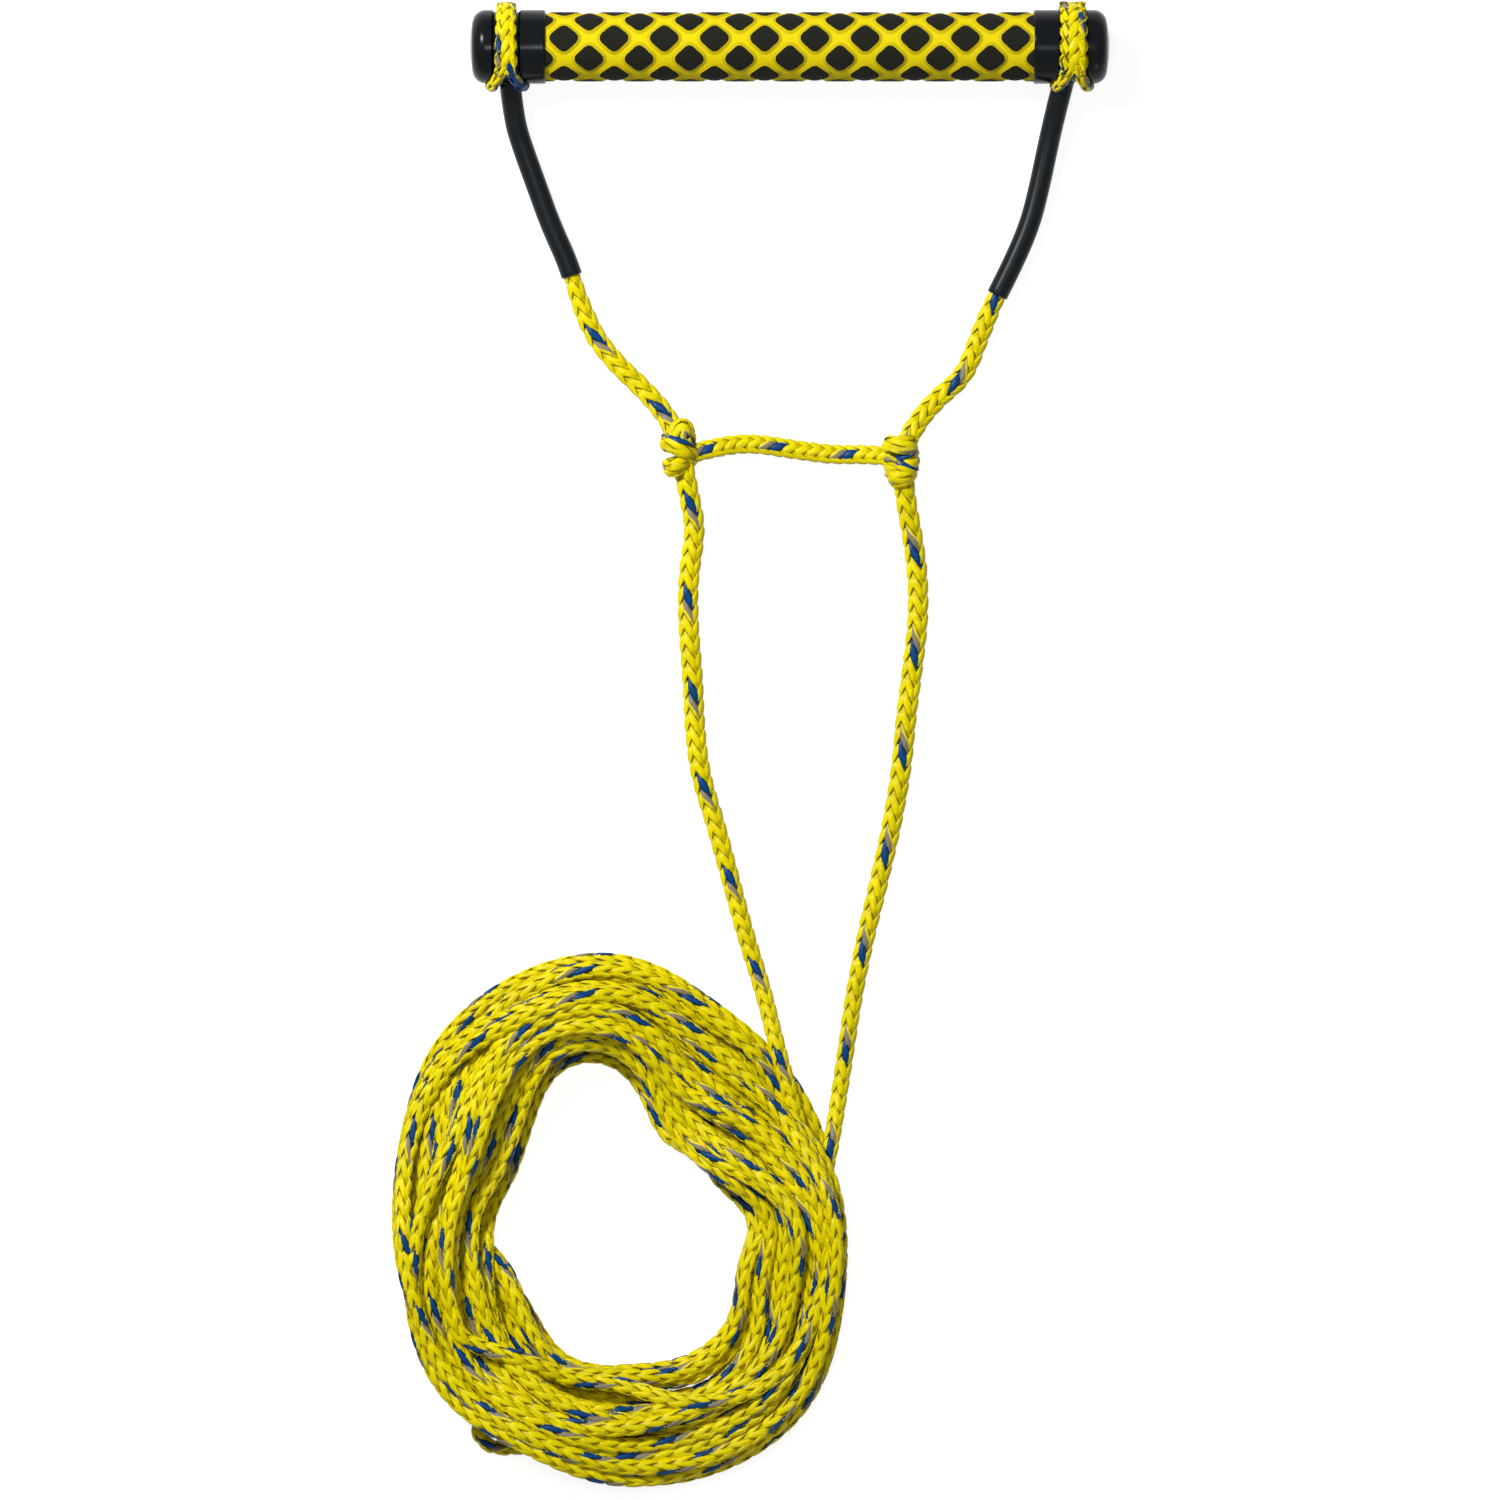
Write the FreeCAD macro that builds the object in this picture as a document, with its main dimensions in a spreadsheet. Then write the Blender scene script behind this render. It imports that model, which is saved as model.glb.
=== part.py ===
"""A water-ski tow rope handle with its coiled rope, as a parametric FreeCAD document.

The handle is a floating bar: a sealed aluminium tube in a two-layer foam grip, with a moulded cap over
each end. A spliced rope eye lies round the seat of each cap and the bar can turn in both eyes. From each
eye the rope runs through a chafe hose to a knot. A cross rope joins the two knots, and the two lower legs
run on to the coiled main line.

Row frame: the part lies on the floor, +X along the bar, -Y towards the coil, +Z up. The origin is on the
floor under the middle of the bar. Lengths are in millimetres.
"""
import FreeCAD, Part
import math
import os
import re

import Sketcher
from FreeCAD import Placement, Rotation, Vector

# alias, value or formula, meaning
SIZES = [
    ("handle_length", 305.0, "overall length of the bar over both caps"),
    ("grip_diameter", 33.0, "diameter over the raised diamonds of the grip"),
    ("foam_thickness", 3.8, "thickness of both foam layers together"),
    ("tube_diameter", "=grip_diameter - 2 * foam_thickness", "outside diameter of the aluminium tube"),
    ("tube_wall", 1.6, "wall of the aluminium tube"),
    ("skirt_wall", 1.15, "how far a cap's barrel stands out beyond the grip"),
    ("cap_diameter", "=grip_diameter + 2 * skirt_wall", "outside diameter of a cap's barrel"),
    ("cap_length", 36.0, "length of a cap"),
    ("cap_end_wall", 4.0, "thickness of a cap's closed end"),
    ("cap_face_radius", 6.0, "radius of the flat disc in the middle of a cap's end"),
    ("cap_crown_depth", 1.7, "fall of the domed end from that disc to the barrel's outline"),
    ("cap_corner_radius", 6.5, "rounding between a cap's end and its barrel"),
    ("cap_lip_radius", 0.9, "rounding of a cap's inner edge"),
    ("seat_depth", 1.0, "depth of the rope seat round a cap"),
    ("seat_inset", 17.4, "distance from a cap's end to the middle of its rope seat"),
    ("seat_spacing", "=handle_length - 2 * seat_inset", "distance between the two rope seats"),
    ("skirt_depth", 8.5, "how far a cap's skirt reaches over the grip"),
    ("diamond_height", 0.8, "how far the diamonds stand above the yellow layer"),
    ("diamond_pitch", 23.9, "distance between diamonds of one row, along the bar"),
    ("diamond_corner", 3.0, "corner radius of a diamond"),
    ("channel_width", 4.5, "width of the yellow channels between the diamonds"),
    ("plug_length", 16.0, "length of a tube plug"),
    ("plug_groove_width", 2.0, "width of each groove round a plug"),
    ("plug_groove_depth", 1.2, "depth of each groove round a plug"),
    ("fit_gap", 0.05, "clearance of pieces pressed or glued together"),
    ("end_gap", 0.3, "end clearance of pieces that stop against each other"),
    ("eye_width", 11.0, "width of the flattened rope of an eye"),
    ("eye_thickness", 5.0, "thickness of the flattened rope of an eye"),
    ("eye_edge_radius", 2.2, "rounding of the flattened rope's edges"),
    ("eye_clearance", 0.35, "running clearance between a rope seat and its eye"),
    ("eye_inner_radius", "=cap_diameter / 2 - seat_depth + eye_clearance", "inside radius of an eye"),
    ("bar_height", "=eye_inner_radius + eye_thickness", "height of the bar's axis above the floor"),
    ("branch_diameter", 4.0, "diameter of each half of the opened rope beside a hose"),
    ("branch_lift", 0.9, "how far those halves stand off the cap beyond the running clearance"),
    ("rope_diameter", 8.0, "diameter of the rope"),
    ("hose_play", 0.3, "clearance between the rope and a chafe hose"),
    ("hose_wall", 0.8, "wall of a chafe hose"),
    ("hose_bore", "=rope_diameter + 2 * hose_play", "bore of a chafe hose"),
    ("hose_diameter", "=hose_bore + 2 * hose_wall", "outside diameter of a chafe hose"),
    ("hose_angle", 20.0, "how far below level a hose leaves its eye, in degrees"),
    ("hose_straight", 36.0, "distance from the bar's axis to the hose's first bend"),
    ("knot_rope_diameter", 7.6, "diameter of the rope in a knot's wraps"),
    ("knot_diameter", 17.6, "diameter over a knot's wraps"),
    ("knot_length", 25.0, "length of a knot along its rope"),
    ("knot_floor_gap", 0.2, "how far a knot stays clear of the floor"),
    ("coil_height", 34.0, "height of the coiled main line"),
    ("coil_rope_diameter", 7.2, "diameter of the rope where it was pulled tight, as in the coil"),
]

TOUCHING = 1e-3  # lengths closer than this count as equal
LARGEST_ROUNDING = 0.45  # a rounding takes at most this share of the thickness it is made on
ARC_SHARE = 0.45  # share of the shorter straight beside it that each bend of a rope takes up
SMALLEST_STUB = 1.0  # a diamond that the grip's end would cut shorter than this is left out
DIAMOND_ROWS = 10  # rows round the grip; every second row is half a pitch further along
FIRST_ROW_ANGLE = -10.4  # degrees from the top towards -Y of the first row

# Routes of the free rope, each point chosen where the rope changes direction. An upper leg starts at its
# seat in the eye and bends first where its hose's straight end stops, which the sizes give.
UPPER_LEG_ROUTES = {
    "left": [
        (-127.8, -47.5, 6.6),
        (-121.6, -64.5, 5.5),
        (-114.6, -84.0, 5.5),
        (-105.9, -103.0, 5.5),
        (-100.9, -120.5, 4.7),
        (-93.6, -137.5, 4.3),
        (-83.2, -150.5, 4.2),
        (-69.8, -163.0, 4.6),
        (-58.5, -176.0, 7.0),
        (-54.5, -184.5, 8.9),
    ],
    "right": [
        (123.6, -48.0, 6.6),
        (120.0, -65.5, 5.5),
        (115.2, -84.5, 5.5),
        (106.6, -104.0, 5.5),
        (97.2, -122.5, 4.9),
        (90.6, -139.0, 4.3),
        (84.0, -156.5, 4.2),
        (70.6, -167.6, 4.6),
        (60.5, -179.5, 7.0),
        (55.6, -189.5, 8.9),
    ],
}
HOSE_TOE_IN = {"left": 5.0, "right": 14.0}  # degrees by which each hose leaves its eye inwards
HOSE_CORNERS = 5  # a hose goes round this many of its rope's corners
HOSE_LAST_RUN = {"left": 0.12, "right": 0.60}  # and ends this far along the straight that follows
CROSS_ROPE_ROUTE = [
    (-47.0, -193.9, 8.6),
    (-34.5, -190.4, 5.6),
    (-18.0, -188.5, 4.2),
    (2.0, -191.8, 4.2),
    (22.0, -194.4, 4.2),
    (36.5, -194.0, 5.6),
    (48.5, -195.2, 8.6),
]
LOWER_LEG_ROUTES = {
    "left": [
        (-50.8, -200.0, 8.9),
        (-48.0, -215.0, 6.0),
        (-44.9, -230.0, 4.2),
        (-48.8, -254.0, 4.2),
        (-48.6, -277.0, 4.2),
        (-46.4, -301.0, 4.2),
        (-45.6, -325.0, 4.2),
        (-42.9, -348.0, 4.2),
        (-35.6, -371.0, 4.2),
        (-28.6, -397.0, 4.2),
        (-20.8, -426.0, 4.2),
        (-12.4, -452.0, 4.2),
        (-5.9, -478.8, 4.2),
    ],
    "right": [
        (54.4, -203.5, 8.9),
        (56.0, -218.5, 6.0),
        (58.8, -232.0, 4.2),
        (61.6, -252.0, 4.2),
        (61.8, -273.0, 4.2),
        (59.3, -295.0, 4.2),
        (56.0, -319.0, 4.2),
        (54.0, -343.0, 4.2),
        (49.6, -370.0, 4.2),
        (43.2, -398.0, 4.2),
        (36.4, -426.0, 4.2),
        (30.8, -454.0, 4.2),
        (26.8, -482.0, 4.2),
        (23.3, -505.0, 4.2),
        (20.2, -523.2, 4.2),
    ],
}
KNOT_CENTRES = {"left": (-52.6, -191.5), "right": (53.4, -196.5)}
KNOT_TURNS = {"left": 8.0, "right": 1.5}  # degrees of a knot's lower end towards the middle
# A knot's two wraps: name, place along the knot as a share of its length, slant in degrees.
KNOT_WRAPS = [("upper", -0.17, 6), ("lower", 0.17, -5)]
TOW_EYE_ROUTE = [
    (-131.0, -656.5, 4.2),
    (-144.0, -656.0, 4.2),
    (-152.5, -666.5, 4.2),
    (-145.5, -677.5, 4.2),
    (-131.0, -678.0, 4.2),
]
COIL_CENTRE = (-80.0, -560.0)
# The coil's ring in equal steps from +X round towards +Y: how near and how far its turns lie.
COIL_REACH = [
    (60.0, 107.0),
    (40.0, 105.0),
    (34.5, 108.0),
    (41.0, 113.0),
    (70.0, 127.0),
    (76.0, 128.5),
    (58.5, 125.0),
    (53.0, 114.0),
    (60.0, 110.0),
    (53.0, 113.0),
    (58.0, 122.0),
    (71.0, 121.0),
    (68.5, 129.5),
    (72.0, 132.0),
    (70.0, 128.0),
    (58.5, 114.0),
]
# Poles of the coil's section, as shares of its half width and half height.
COIL_SECTION = [(-1, 0), (-1, -1), (0, -1), (1, -1), (1, 0), (0.8, 0.9), (0, 1), (-0.8, 0.9)]

doc = FreeCAD.newDocument("TowRopeHandle")


def make_sheet():
    """The driving sizes, one per row: meaning, value (with its alias)."""
    sheet = doc.addObject("Spreadsheet::Sheet", "Sizes")
    for row, (alias, value, meaning) in enumerate(SIZES, start=1):
        sheet.set(f"A{row}", meaning)
        sheet.set(f"B{row}", str(value))
        sheet.setAlias(f"B{row}", alias)
    doc.recompute()
    return sheet


sheet = make_sheet()


def size(alias):
    """The present value of one size, for shapes made by Part's own functions."""
    return float(getattr(sheet, alias))


def bound(text):
    """An expression for setExpression: each alias in text gets its sheet's name."""
    aliases = "|".join(alias for alias, _, _ in SIZES)
    return re.sub(rf"\b({aliases})\b", r"Sizes.\1", text)


def worked_out(expression):
    """The present value of an expression of the sizes."""
    return float(sheet.evalExpression(bound(expression)))


# --- PartDesign helpers ------------------------------------------------------------------------------


def new_body(label):
    body = doc.addObject("PartDesign::Body", label)
    body.Label = label
    return body


def origin_plane(body, role):
    return next(feature for feature in body.Origin.OriginFeatures if feature.Role == role)


def profile_sketch(body, name, corners):
    """A closed polygon on the body's XY plane. Each corner is (x, y), both expressions of the sizes."""
    sketch = body.newObject("Sketcher::SketchObject", name)
    sketch.AttachmentSupport = [(origin_plane(body, "XY_Plane"), "")]
    sketch.MapMode = "FlatFace"
    places = [Vector(worked_out(x), worked_out(y), 0) for x, y in corners]
    count = len(places)
    for index, place in enumerate(places):
        sketch.addGeometry(Part.LineSegment(place, places[(index + 1) % count]), False)
    for index in range(count):
        sketch.addConstraint(Sketcher.Constraint("Coincident", index, 2, (index + 1) % count, 1))
    for index, corner in enumerate(corners):
        for kind, expression, axis in (("DistanceX", corner[0], -2), ("DistanceY", corner[1], -1)):
            if expression == "0":
                sketch.addConstraint(Sketcher.Constraint("PointOnObject", index, 1, axis))
                continue
            value = places[index].x if kind == "DistanceX" else places[index].y
            number = sketch.addConstraint(Sketcher.Constraint(kind, -1, 1, index, 1, value))
            label = f"{kind[-1].lower()}_{index}"
            sketch.renameConstraint(number, label)
            sketch.setExpression(f"Constraints.{label}", bound(expression))
    return sketch


def revolve(body, sketch, name):
    turned = body.newObject("PartDesign::Revolution", name)
    turned.Profile = sketch
    turned.ReferenceAxis = (sketch, ["H_Axis"])
    turned.Angle = 360.0
    doc.recompute()
    return turned


def hoop_edges(shape, x, radius):
    """The names of the circular edges round the X axis at this x and radius."""
    found = []
    for number, edge in enumerate(shape.Edges, start=1):
        curve = edge.Curve
        if not isinstance(curve, Part.Circle):
            continue
        if abs(curve.Center.x - x) < TOUCHING and abs(curve.Radius - radius) < TOUCHING:
            found.append(f"Edge{number}")
    return found


def fillet(body, base, name, edges, alias):
    rounded = body.newObject("PartDesign::Fillet", name)
    rounded.Base = (base, edges)
    rounded.setExpression("Radius", bound(alias))
    doc.recompute()
    return rounded


def place_on_bar(body, shift="0", half_turn=False):
    """Puts a body made about the X axis on the bar's axis, turned end for end for the left side."""
    turn = Rotation(Vector(0, 0, 1), 180 if half_turn else 0)
    body.Placement = Placement(Vector(0, 0, 0), turn)
    body.setExpression("Placement.Base.x", bound(shift))
    body.setExpression("Placement.Base.z", bound("bar_height"))


# --- the bar -----------------------------------------------------------------------------------------


def make_core_tube():
    body = new_body("core_tube")
    length = "(handle_length - 2 * cap_end_wall - 2 * end_gap)"
    inner = "(tube_diameter / 2 - tube_wall)"
    sketch = profile_sketch(
        body,
        "tube_section",
        [("0", inner), (length, inner), (length, "tube_diameter / 2"), ("0", "tube_diameter / 2")],
    )
    revolve(body, sketch, "tube")
    place_on_bar(body, shift=f"-{length} / 2")


def make_tube_plug(side):
    """A ribbed stopper, flush with the tube's end, which keeps the water out."""
    body = new_body(f"tube_plug_{side}")
    outer_end = "(handle_length / 2 - cap_end_wall - end_gap)"
    radius = "(tube_diameter / 2 - tube_wall - fit_gap)"
    waist = f"({radius} - plug_groove_depth)"
    corners = [(f"{outer_end} - plug_length", "0"), (outer_end, "0"), (outer_end, radius)]
    for share in (1, 2):
        middle = f"{outer_end} - {share} * plug_length / 3"
        corners += [
            (f"{middle} + plug_groove_width / 2", radius),
            (f"{middle} + plug_groove_width / 2", waist),
            (f"{middle} - plug_groove_width / 2", waist),
            (f"{middle} - plug_groove_width / 2", radius),
        ]
    corners.append((f"{outer_end} - plug_length", radius))
    revolve(body, profile_sketch(body, "plug_section", corners), "plug")
    place_on_bar(body, half_turn=side == "left")


def make_grip_sleeve():
    """The yellow under-layer of the grip, from skirt to skirt."""
    body = new_body("grip_sleeve")
    length = "(handle_length - 2 * cap_length + 2 * skirt_depth - 2 * end_gap)"
    inner = "(tube_diameter / 2 + fit_gap)"
    outer = "(grip_diameter / 2 - diamond_height)"
    sketch = profile_sketch(
        body, "sleeve_section", [("0", inner), (length, inner), (length, outer), ("0", outer)]
    )
    revolve(body, sketch, "sleeve")
    place_on_bar(body, shift=f"-{length} / 2")


def make_grip_diamonds():
    """The black top layer of the grip, cut by crossing channels into rows of rounded diamonds."""
    length = size("handle_length") - 2 * size("cap_length") + 2 * size("skirt_depth") - 2 * size("end_gap")
    top = size("grip_diameter") / 2
    foot = top - size("diamond_height") + size("fit_gap")
    half_pitch = size("diamond_pitch") / 2
    half_row = 2 * math.pi * top / DIAMOND_ROWS
    across = math.hypot(half_pitch, half_row)
    shrink = 1 - size("channel_width") / 2 * across / (half_pitch * half_row)
    tip, side_tip = half_pitch * shrink, half_row * shrink
    tips = [Vector(tip, 0, 0), Vector(0, side_tip, 0), Vector(-tip, 0, 0), Vector(0, -side_tip, 0)]
    outline = Part.makePolygon(tips + tips[:1])
    prism = Part.Face(outline).extrude(Vector(0, 0, 2 * top))
    uprights = [edge for edge in prism.Edges if abs(edge.tangentAt(edge.FirstParameter).z) > 1 - TOUCHING]
    prism = prism.makeFillet(size("diamond_corner"), uprights)
    shell = Part.makeCylinder(top, length, Vector(-length / 2, 0, 0), Vector(1, 0, 0)).cut(
        Part.makeCylinder(foot, length, Vector(-length / 2, 0, 0), Vector(1, 0, 0))
    )
    reach = int((length / 2 + tip) / size("diamond_pitch")) + 1
    pads = []
    for row in range(DIAMOND_ROWS):
        turn = Rotation(Vector(1, 0, 0), FIRST_ROW_ANGLE + row * 360 / DIAMOND_ROWS)
        offset = half_pitch if row % 2 == 0 else 0
        for column in range(-reach, reach + 1):
            x = column * size("diamond_pitch") + offset
            if abs(x) - tip > length / 2 - SMALLEST_STUB:
                continue
            pad = prism.copy()
            pad.Placement = Placement(Vector(x, 0, 0), turn)
            pads.append(pad.common(shell))
    feature = doc.addObject("Part::Feature", "grip_diamonds")
    feature.Label = "grip_diamonds"
    feature.Shape = Part.makeCompound([solid for pad in pads for solid in pad.Solids])
    feature.Placement = Placement(Vector(0, 0, size("bar_height")), Rotation())


def make_end_cap(side):
    """A moulded cap: closed domed end, rope seat round the barrel, skirt over the grip's end."""
    body = new_body(f"end_cap_{side}")
    end = "(handle_length / 2)"
    barrel = "(cap_diameter / 2)"
    floor = f"({barrel} - seat_depth)"
    inner_edge = f"({end} - cap_length)"
    shoulder = f"({inner_edge} + skirt_depth)"
    bore = "(tube_diameter / 2 + fit_gap)"
    skirt = "(grip_diameter / 2 + fit_gap)"
    seat_half = "(eye_width / 2 + eye_clearance)"
    corners = [
        (f"{end} - cap_end_wall", "0"),
        (end, "0"),
        (end, "cap_face_radius"),
        (f"{end} - cap_crown_depth", barrel),
        (f"seat_spacing / 2 + {seat_half} + seat_depth", barrel),
        (f"seat_spacing / 2 + {seat_half}", floor),
        (f"seat_spacing / 2 - {seat_half}", floor),
        (f"seat_spacing / 2 - {seat_half} - seat_depth", barrel),
        (inner_edge, barrel),
        (inner_edge, skirt),
        (shoulder, skirt),
        (shoulder, bore),
        (f"{end} - cap_end_wall", bore),
    ]
    turned = revolve(body, profile_sketch(body, "cap_section", corners), "cap")
    barrel_radius = size("cap_diameter") / 2
    end_x = size("handle_length") / 2
    outer = hoop_edges(turned.Shape, end_x - size("cap_crown_depth"), barrel_radius)
    rounded = fillet(body, turned, "rounded_end", outer, "cap_corner_radius")
    inner = hoop_edges(rounded.Shape, end_x - size("cap_length"), barrel_radius)
    body.Tip = fillet(body, rounded, "rounded_lip", inner, "min(cap_lip_radius, skirt_wall * 0.8)")
    place_on_bar(body, half_turn=side == "left")


# --- the rope eyes and hoses ---------------------------------------------------------------------------

SIDES = {"left": -1, "right": 1}


def eye_seat():
    """How far from the bar's axis the rope leaves the flat bottom of its notch in the eye."""
    return size("eye_inner_radius") + size("eye_thickness") / 2


def hose_direction(side, toe_in=None):
    """Where a hose points as it leaves its eye, or where it would without its toe-in."""
    down = math.radians(size("hose_angle"))
    inward = math.radians(HOSE_TOE_IN[side] if toe_in is None else toe_in)
    level = Vector(-SIDES[side] * math.sin(inward), -math.cos(inward), 0)
    return level * math.cos(down) - Vector(0, 0, math.sin(down))


def on_hose_axis(side, distance):
    """A point on the straight line on which a hose leaves its eye, this far from the bar's axis."""
    start = Vector(SIDES[side] * size("seat_spacing") / 2, 0, size("bar_height"))
    return start + hose_direction(side) * distance


def make_rope_eye(side):
    """The flattened rope round a cap's seat. Beside the hose it is opened into two halves."""
    ring_body = new_body(f"eye_ring_{side}")
    inner = "eye_inner_radius"
    outer = "(eye_inner_radius + eye_thickness)"
    sketch = profile_sketch(
        ring_body,
        "ring_section",
        [("0", inner), ("eye_width", inner), ("eye_width", outer), ("0", outer)],
    )
    turned = revolve(ring_body, sketch, "ring")
    hoops = []
    for x in (0, size("eye_width")):
        for radius in (worked_out(inner), worked_out(outer)):
            hoops += hoop_edges(turned.Shape, x, radius)
    edge_radius = f"min(eye_edge_radius, eye_thickness * {LARGEST_ROUNDING})"
    ring_body.Tip = fillet(ring_body, turned, "soft_edges", hoops, edge_radius)
    place_on_bar(ring_body, shift=f"{SIDES[side]} * seat_spacing / 2 - eye_width / 2")

    notch = doc.addObject("Part::Cylinder", f"hose_notch_{side}")
    notch.setExpression("Radius", bound("max(eye_width, hose_diameter) / 2 + end_gap"))
    notch.setExpression("Height", bound("eye_thickness + branch_diameter"))
    along = Rotation(Vector(0, 0, 1), hose_direction(side))
    notch.Placement = Placement(on_hose_axis(side, eye_seat()), along)
    notched = doc.addObject("Part::Cut", f"notched_ring_{side}")
    notched.Base = ring_body
    notched.Tool = notch

    halves = doc.addObject("Part::Torus", f"opened_rope_{side}")
    spread = f"(hose_diameter / 2 + end_gap + branch_diameter / 2) / cos({HOSE_TOE_IN[side]})"
    halves.setExpression("Radius1", bound(spread))
    halves.setExpression("Radius2", bound("branch_diameter / 2"))
    square = hose_direction(side, toe_in=0)
    clear_of_cap = worked_out("(cap_diameter + branch_diameter) / 2 + eye_clearance + branch_lift")
    along_hose = clear_of_cap / square.dot(hose_direction(side))
    halves.Placement = Placement(on_hose_axis(side, along_hose), Rotation(Vector(0, 0, 1), square))

    eye = doc.addObject("Part::MultiFuse", f"rope_eye_{side}")
    eye.Label = f"rope_eye_{side}"
    eye.Shapes = [notched, halves]
    doc.recompute()


def rounded_path(points):
    """Straight runs joined by tangent arcs, as a list of edges, and the arcs' radii."""
    edges, radii = [], []
    start = points[0]
    for before, corner, after in zip(points, points[1:], points[2:]):
        inward, outward = before - corner, after - corner
        setback = ARC_SHARE * min(inward.Length, outward.Length)
        turn = math.pi - inward.getAngle(outward)
        radius = setback / math.tan(turn / 2)
        inward.normalize()
        outward.normalize()
        bisector = (inward + outward).normalize()
        centre = corner + bisector * (radius / math.cos(turn / 2))
        first, last = corner + inward * setback, corner + outward * setback
        edges.append(Part.LineSegment(start, first).toShape())
        edges.append(Part.Arc(first, centre - bisector * radius, last).toShape())
        radii.append(radius)
        start = last
    edges.append(Part.LineSegment(start, points[-1]).toShape())
    return edges, radii


def swept_round(edges, radius):
    """A round bar along a path of tangent edges."""
    path = Part.Wire(edges)
    start = edges[0].Vertexes[0].Point
    along = edges[0].tangentAt(edges[0].FirstParameter)
    section = Part.Wire(Part.makeCircle(radius, start, along))
    return path.makePipeShell([section], True, False)


def add_tube(label, solid):
    feature = doc.addObject("Part::Feature", label)
    feature.Label = label
    feature.Shape = solid
    return feature


def make_rope(label, points, diameter):
    """A plain round rope along its route. Prints its length and its tightest bends."""
    edges, radii = rounded_path(points)
    solid = swept_round(edges, diameter / 2)
    length = sum(edge.Length for edge in edges)
    ratio = solid.Volume / (math.pi * diameter**2 / 4 * length)
    tightest = min(radii) / diameter
    print(f"{label}: {length:.0f} mm, volume ratio {ratio:.4f}, tightest bend {tightest:.1f} diameters")
    print("   radii", " ".join(f"{radius:.0f}" for radius in radii))
    add_tube(label, solid)


def upper_leg_points(side):
    straight = [on_hose_axis(side, eye_seat()), on_hose_axis(side, size("hose_straight"))]
    return straight + [Vector(*point) for point in UPPER_LEG_ROUTES[side]]


def make_hose(side):
    """A vinyl hose over the rope, from the notch in the eye to its cut end."""
    points = upper_leg_points(side)
    edges = rounded_path(points)[0]
    kept = edges[: 2 * HOSE_CORNERS]
    last_run = edges[2 * HOSE_CORNERS]
    first = last_run.Vertexes[0].Point
    end = first + (last_run.Vertexes[-1].Point - first) * HOSE_LAST_RUN[side]
    kept.append(Part.LineSegment(first, end).toShape())
    start = on_hose_axis(side, eye_seat() + size("end_gap"))
    kept[0] = Part.LineSegment(start, kept[0].Vertexes[-1].Point).toShape()
    outer = swept_round(kept, size("hose_diameter") / 2)
    bore = swept_round(kept, size("hose_bore") / 2)
    length = sum(edge.Length for edge in kept)
    print(f"hose_{side}: {length:.0f} mm")
    add_tube(f"hose_{side}", outer.cut(bore))


# --- knots, coil and tow eye -----------------------------------------------------------------------------


def make_knot(side):
    """Two round turns of the cross rope, pulled tight round the leg."""
    rope = "knot_rope_diameter / 2"
    x, y = KNOT_CENTRES[side]
    height = size("knot_diameter") / 2 + size("knot_floor_gap")
    lean = Rotation(Vector(0, 0, 1), -SIDES[side] * KNOT_TURNS[side])
    along = lean.multVec(Vector(0, -1, 0))
    upright = Rotation(Vector(0, 0, 1), along)
    centre = Vector(x, y, height)
    parts = []
    for name, share, tilt in KNOT_WRAPS:
        wrap = doc.addObject("Part::Torus", f"{name}_wrap_{side}")
        wrap.setExpression("Radius1", bound(f"knot_diameter / 2 - {rope}"))
        wrap.setExpression("Radius2", bound(rope))
        tilted = Rotation(Vector(0, 0, 1), tilt).multiply(upright)
        wrap.Placement = Placement(centre + along * (share * size("knot_length")), tilted)
        parts.append(wrap)
    core = doc.addObject("Part::Cylinder", f"leg_in_knot_{side}")
    core.setExpression("Radius", bound("rope_diameter / 2 + end_gap"))
    core.setExpression("Height", bound("knot_length"))
    core.Placement = Placement(centre - along * (size("knot_length") / 2), upright)
    parts.append(core)
    knot = doc.addObject("Part::MultiFuse", f"knot_{side}")
    knot.Label = f"knot_{side}"
    knot.Shapes = parts
    doc.recompute()


def make_coil():
    """The outer shape of the coiled main line: an uneven ring under one closed smooth surface."""
    half_height = size("coil_height") / 2
    step = 2 * math.pi / len(COIL_REACH)
    pull = 2 / 3 + math.cos(step) / 3  # a cubic surface keeps this share of its poles' distance
    poles = []
    for number, (near, far) in enumerate(COIL_REACH):
        outward = Vector(math.cos(number * step), math.sin(number * step), 0)
        middle, half_width = (near + far) / 2, (far - near) / 2
        section = []
        for across, up in COIL_SECTION:
            distance = (middle + across * half_width) / pull
            section.append(Vector(*COIL_CENTRE, half_height * (1 + up)) + outward * distance)
        poles.append(section)
    counts = (len(poles), len(COIL_SECTION))
    knots = [list(range(count + 1)) for count in counts]
    surface = Part.BSplineSurface()
    surface.buildFromPolesMultsKnots(
        poles, [1] * len(knots[0]), [1] * len(knots[1]), *knots, True, True, 3, 3
    )
    ring = Part.Solid(Part.Shell([surface.toShape()]))
    if ring.Volume < 0:
        ring.reverse()
    add_tube("main_line_coil", ring)


def check(objects):
    """Every object is sound, and every sub-part's shape is whole."""
    for thing in doc.Objects:
        if "Invalid" in thing.State or "Error" in thing.State:
            raise RuntimeError(f"{thing.Name} failed: {thing.State}")
    for thing in objects:
        if thing.Shape.isNull() or not thing.Shape.isValid() or not thing.Shape.Solids:
            raise RuntimeError(f"{thing.Label} has no sound shape")


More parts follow.
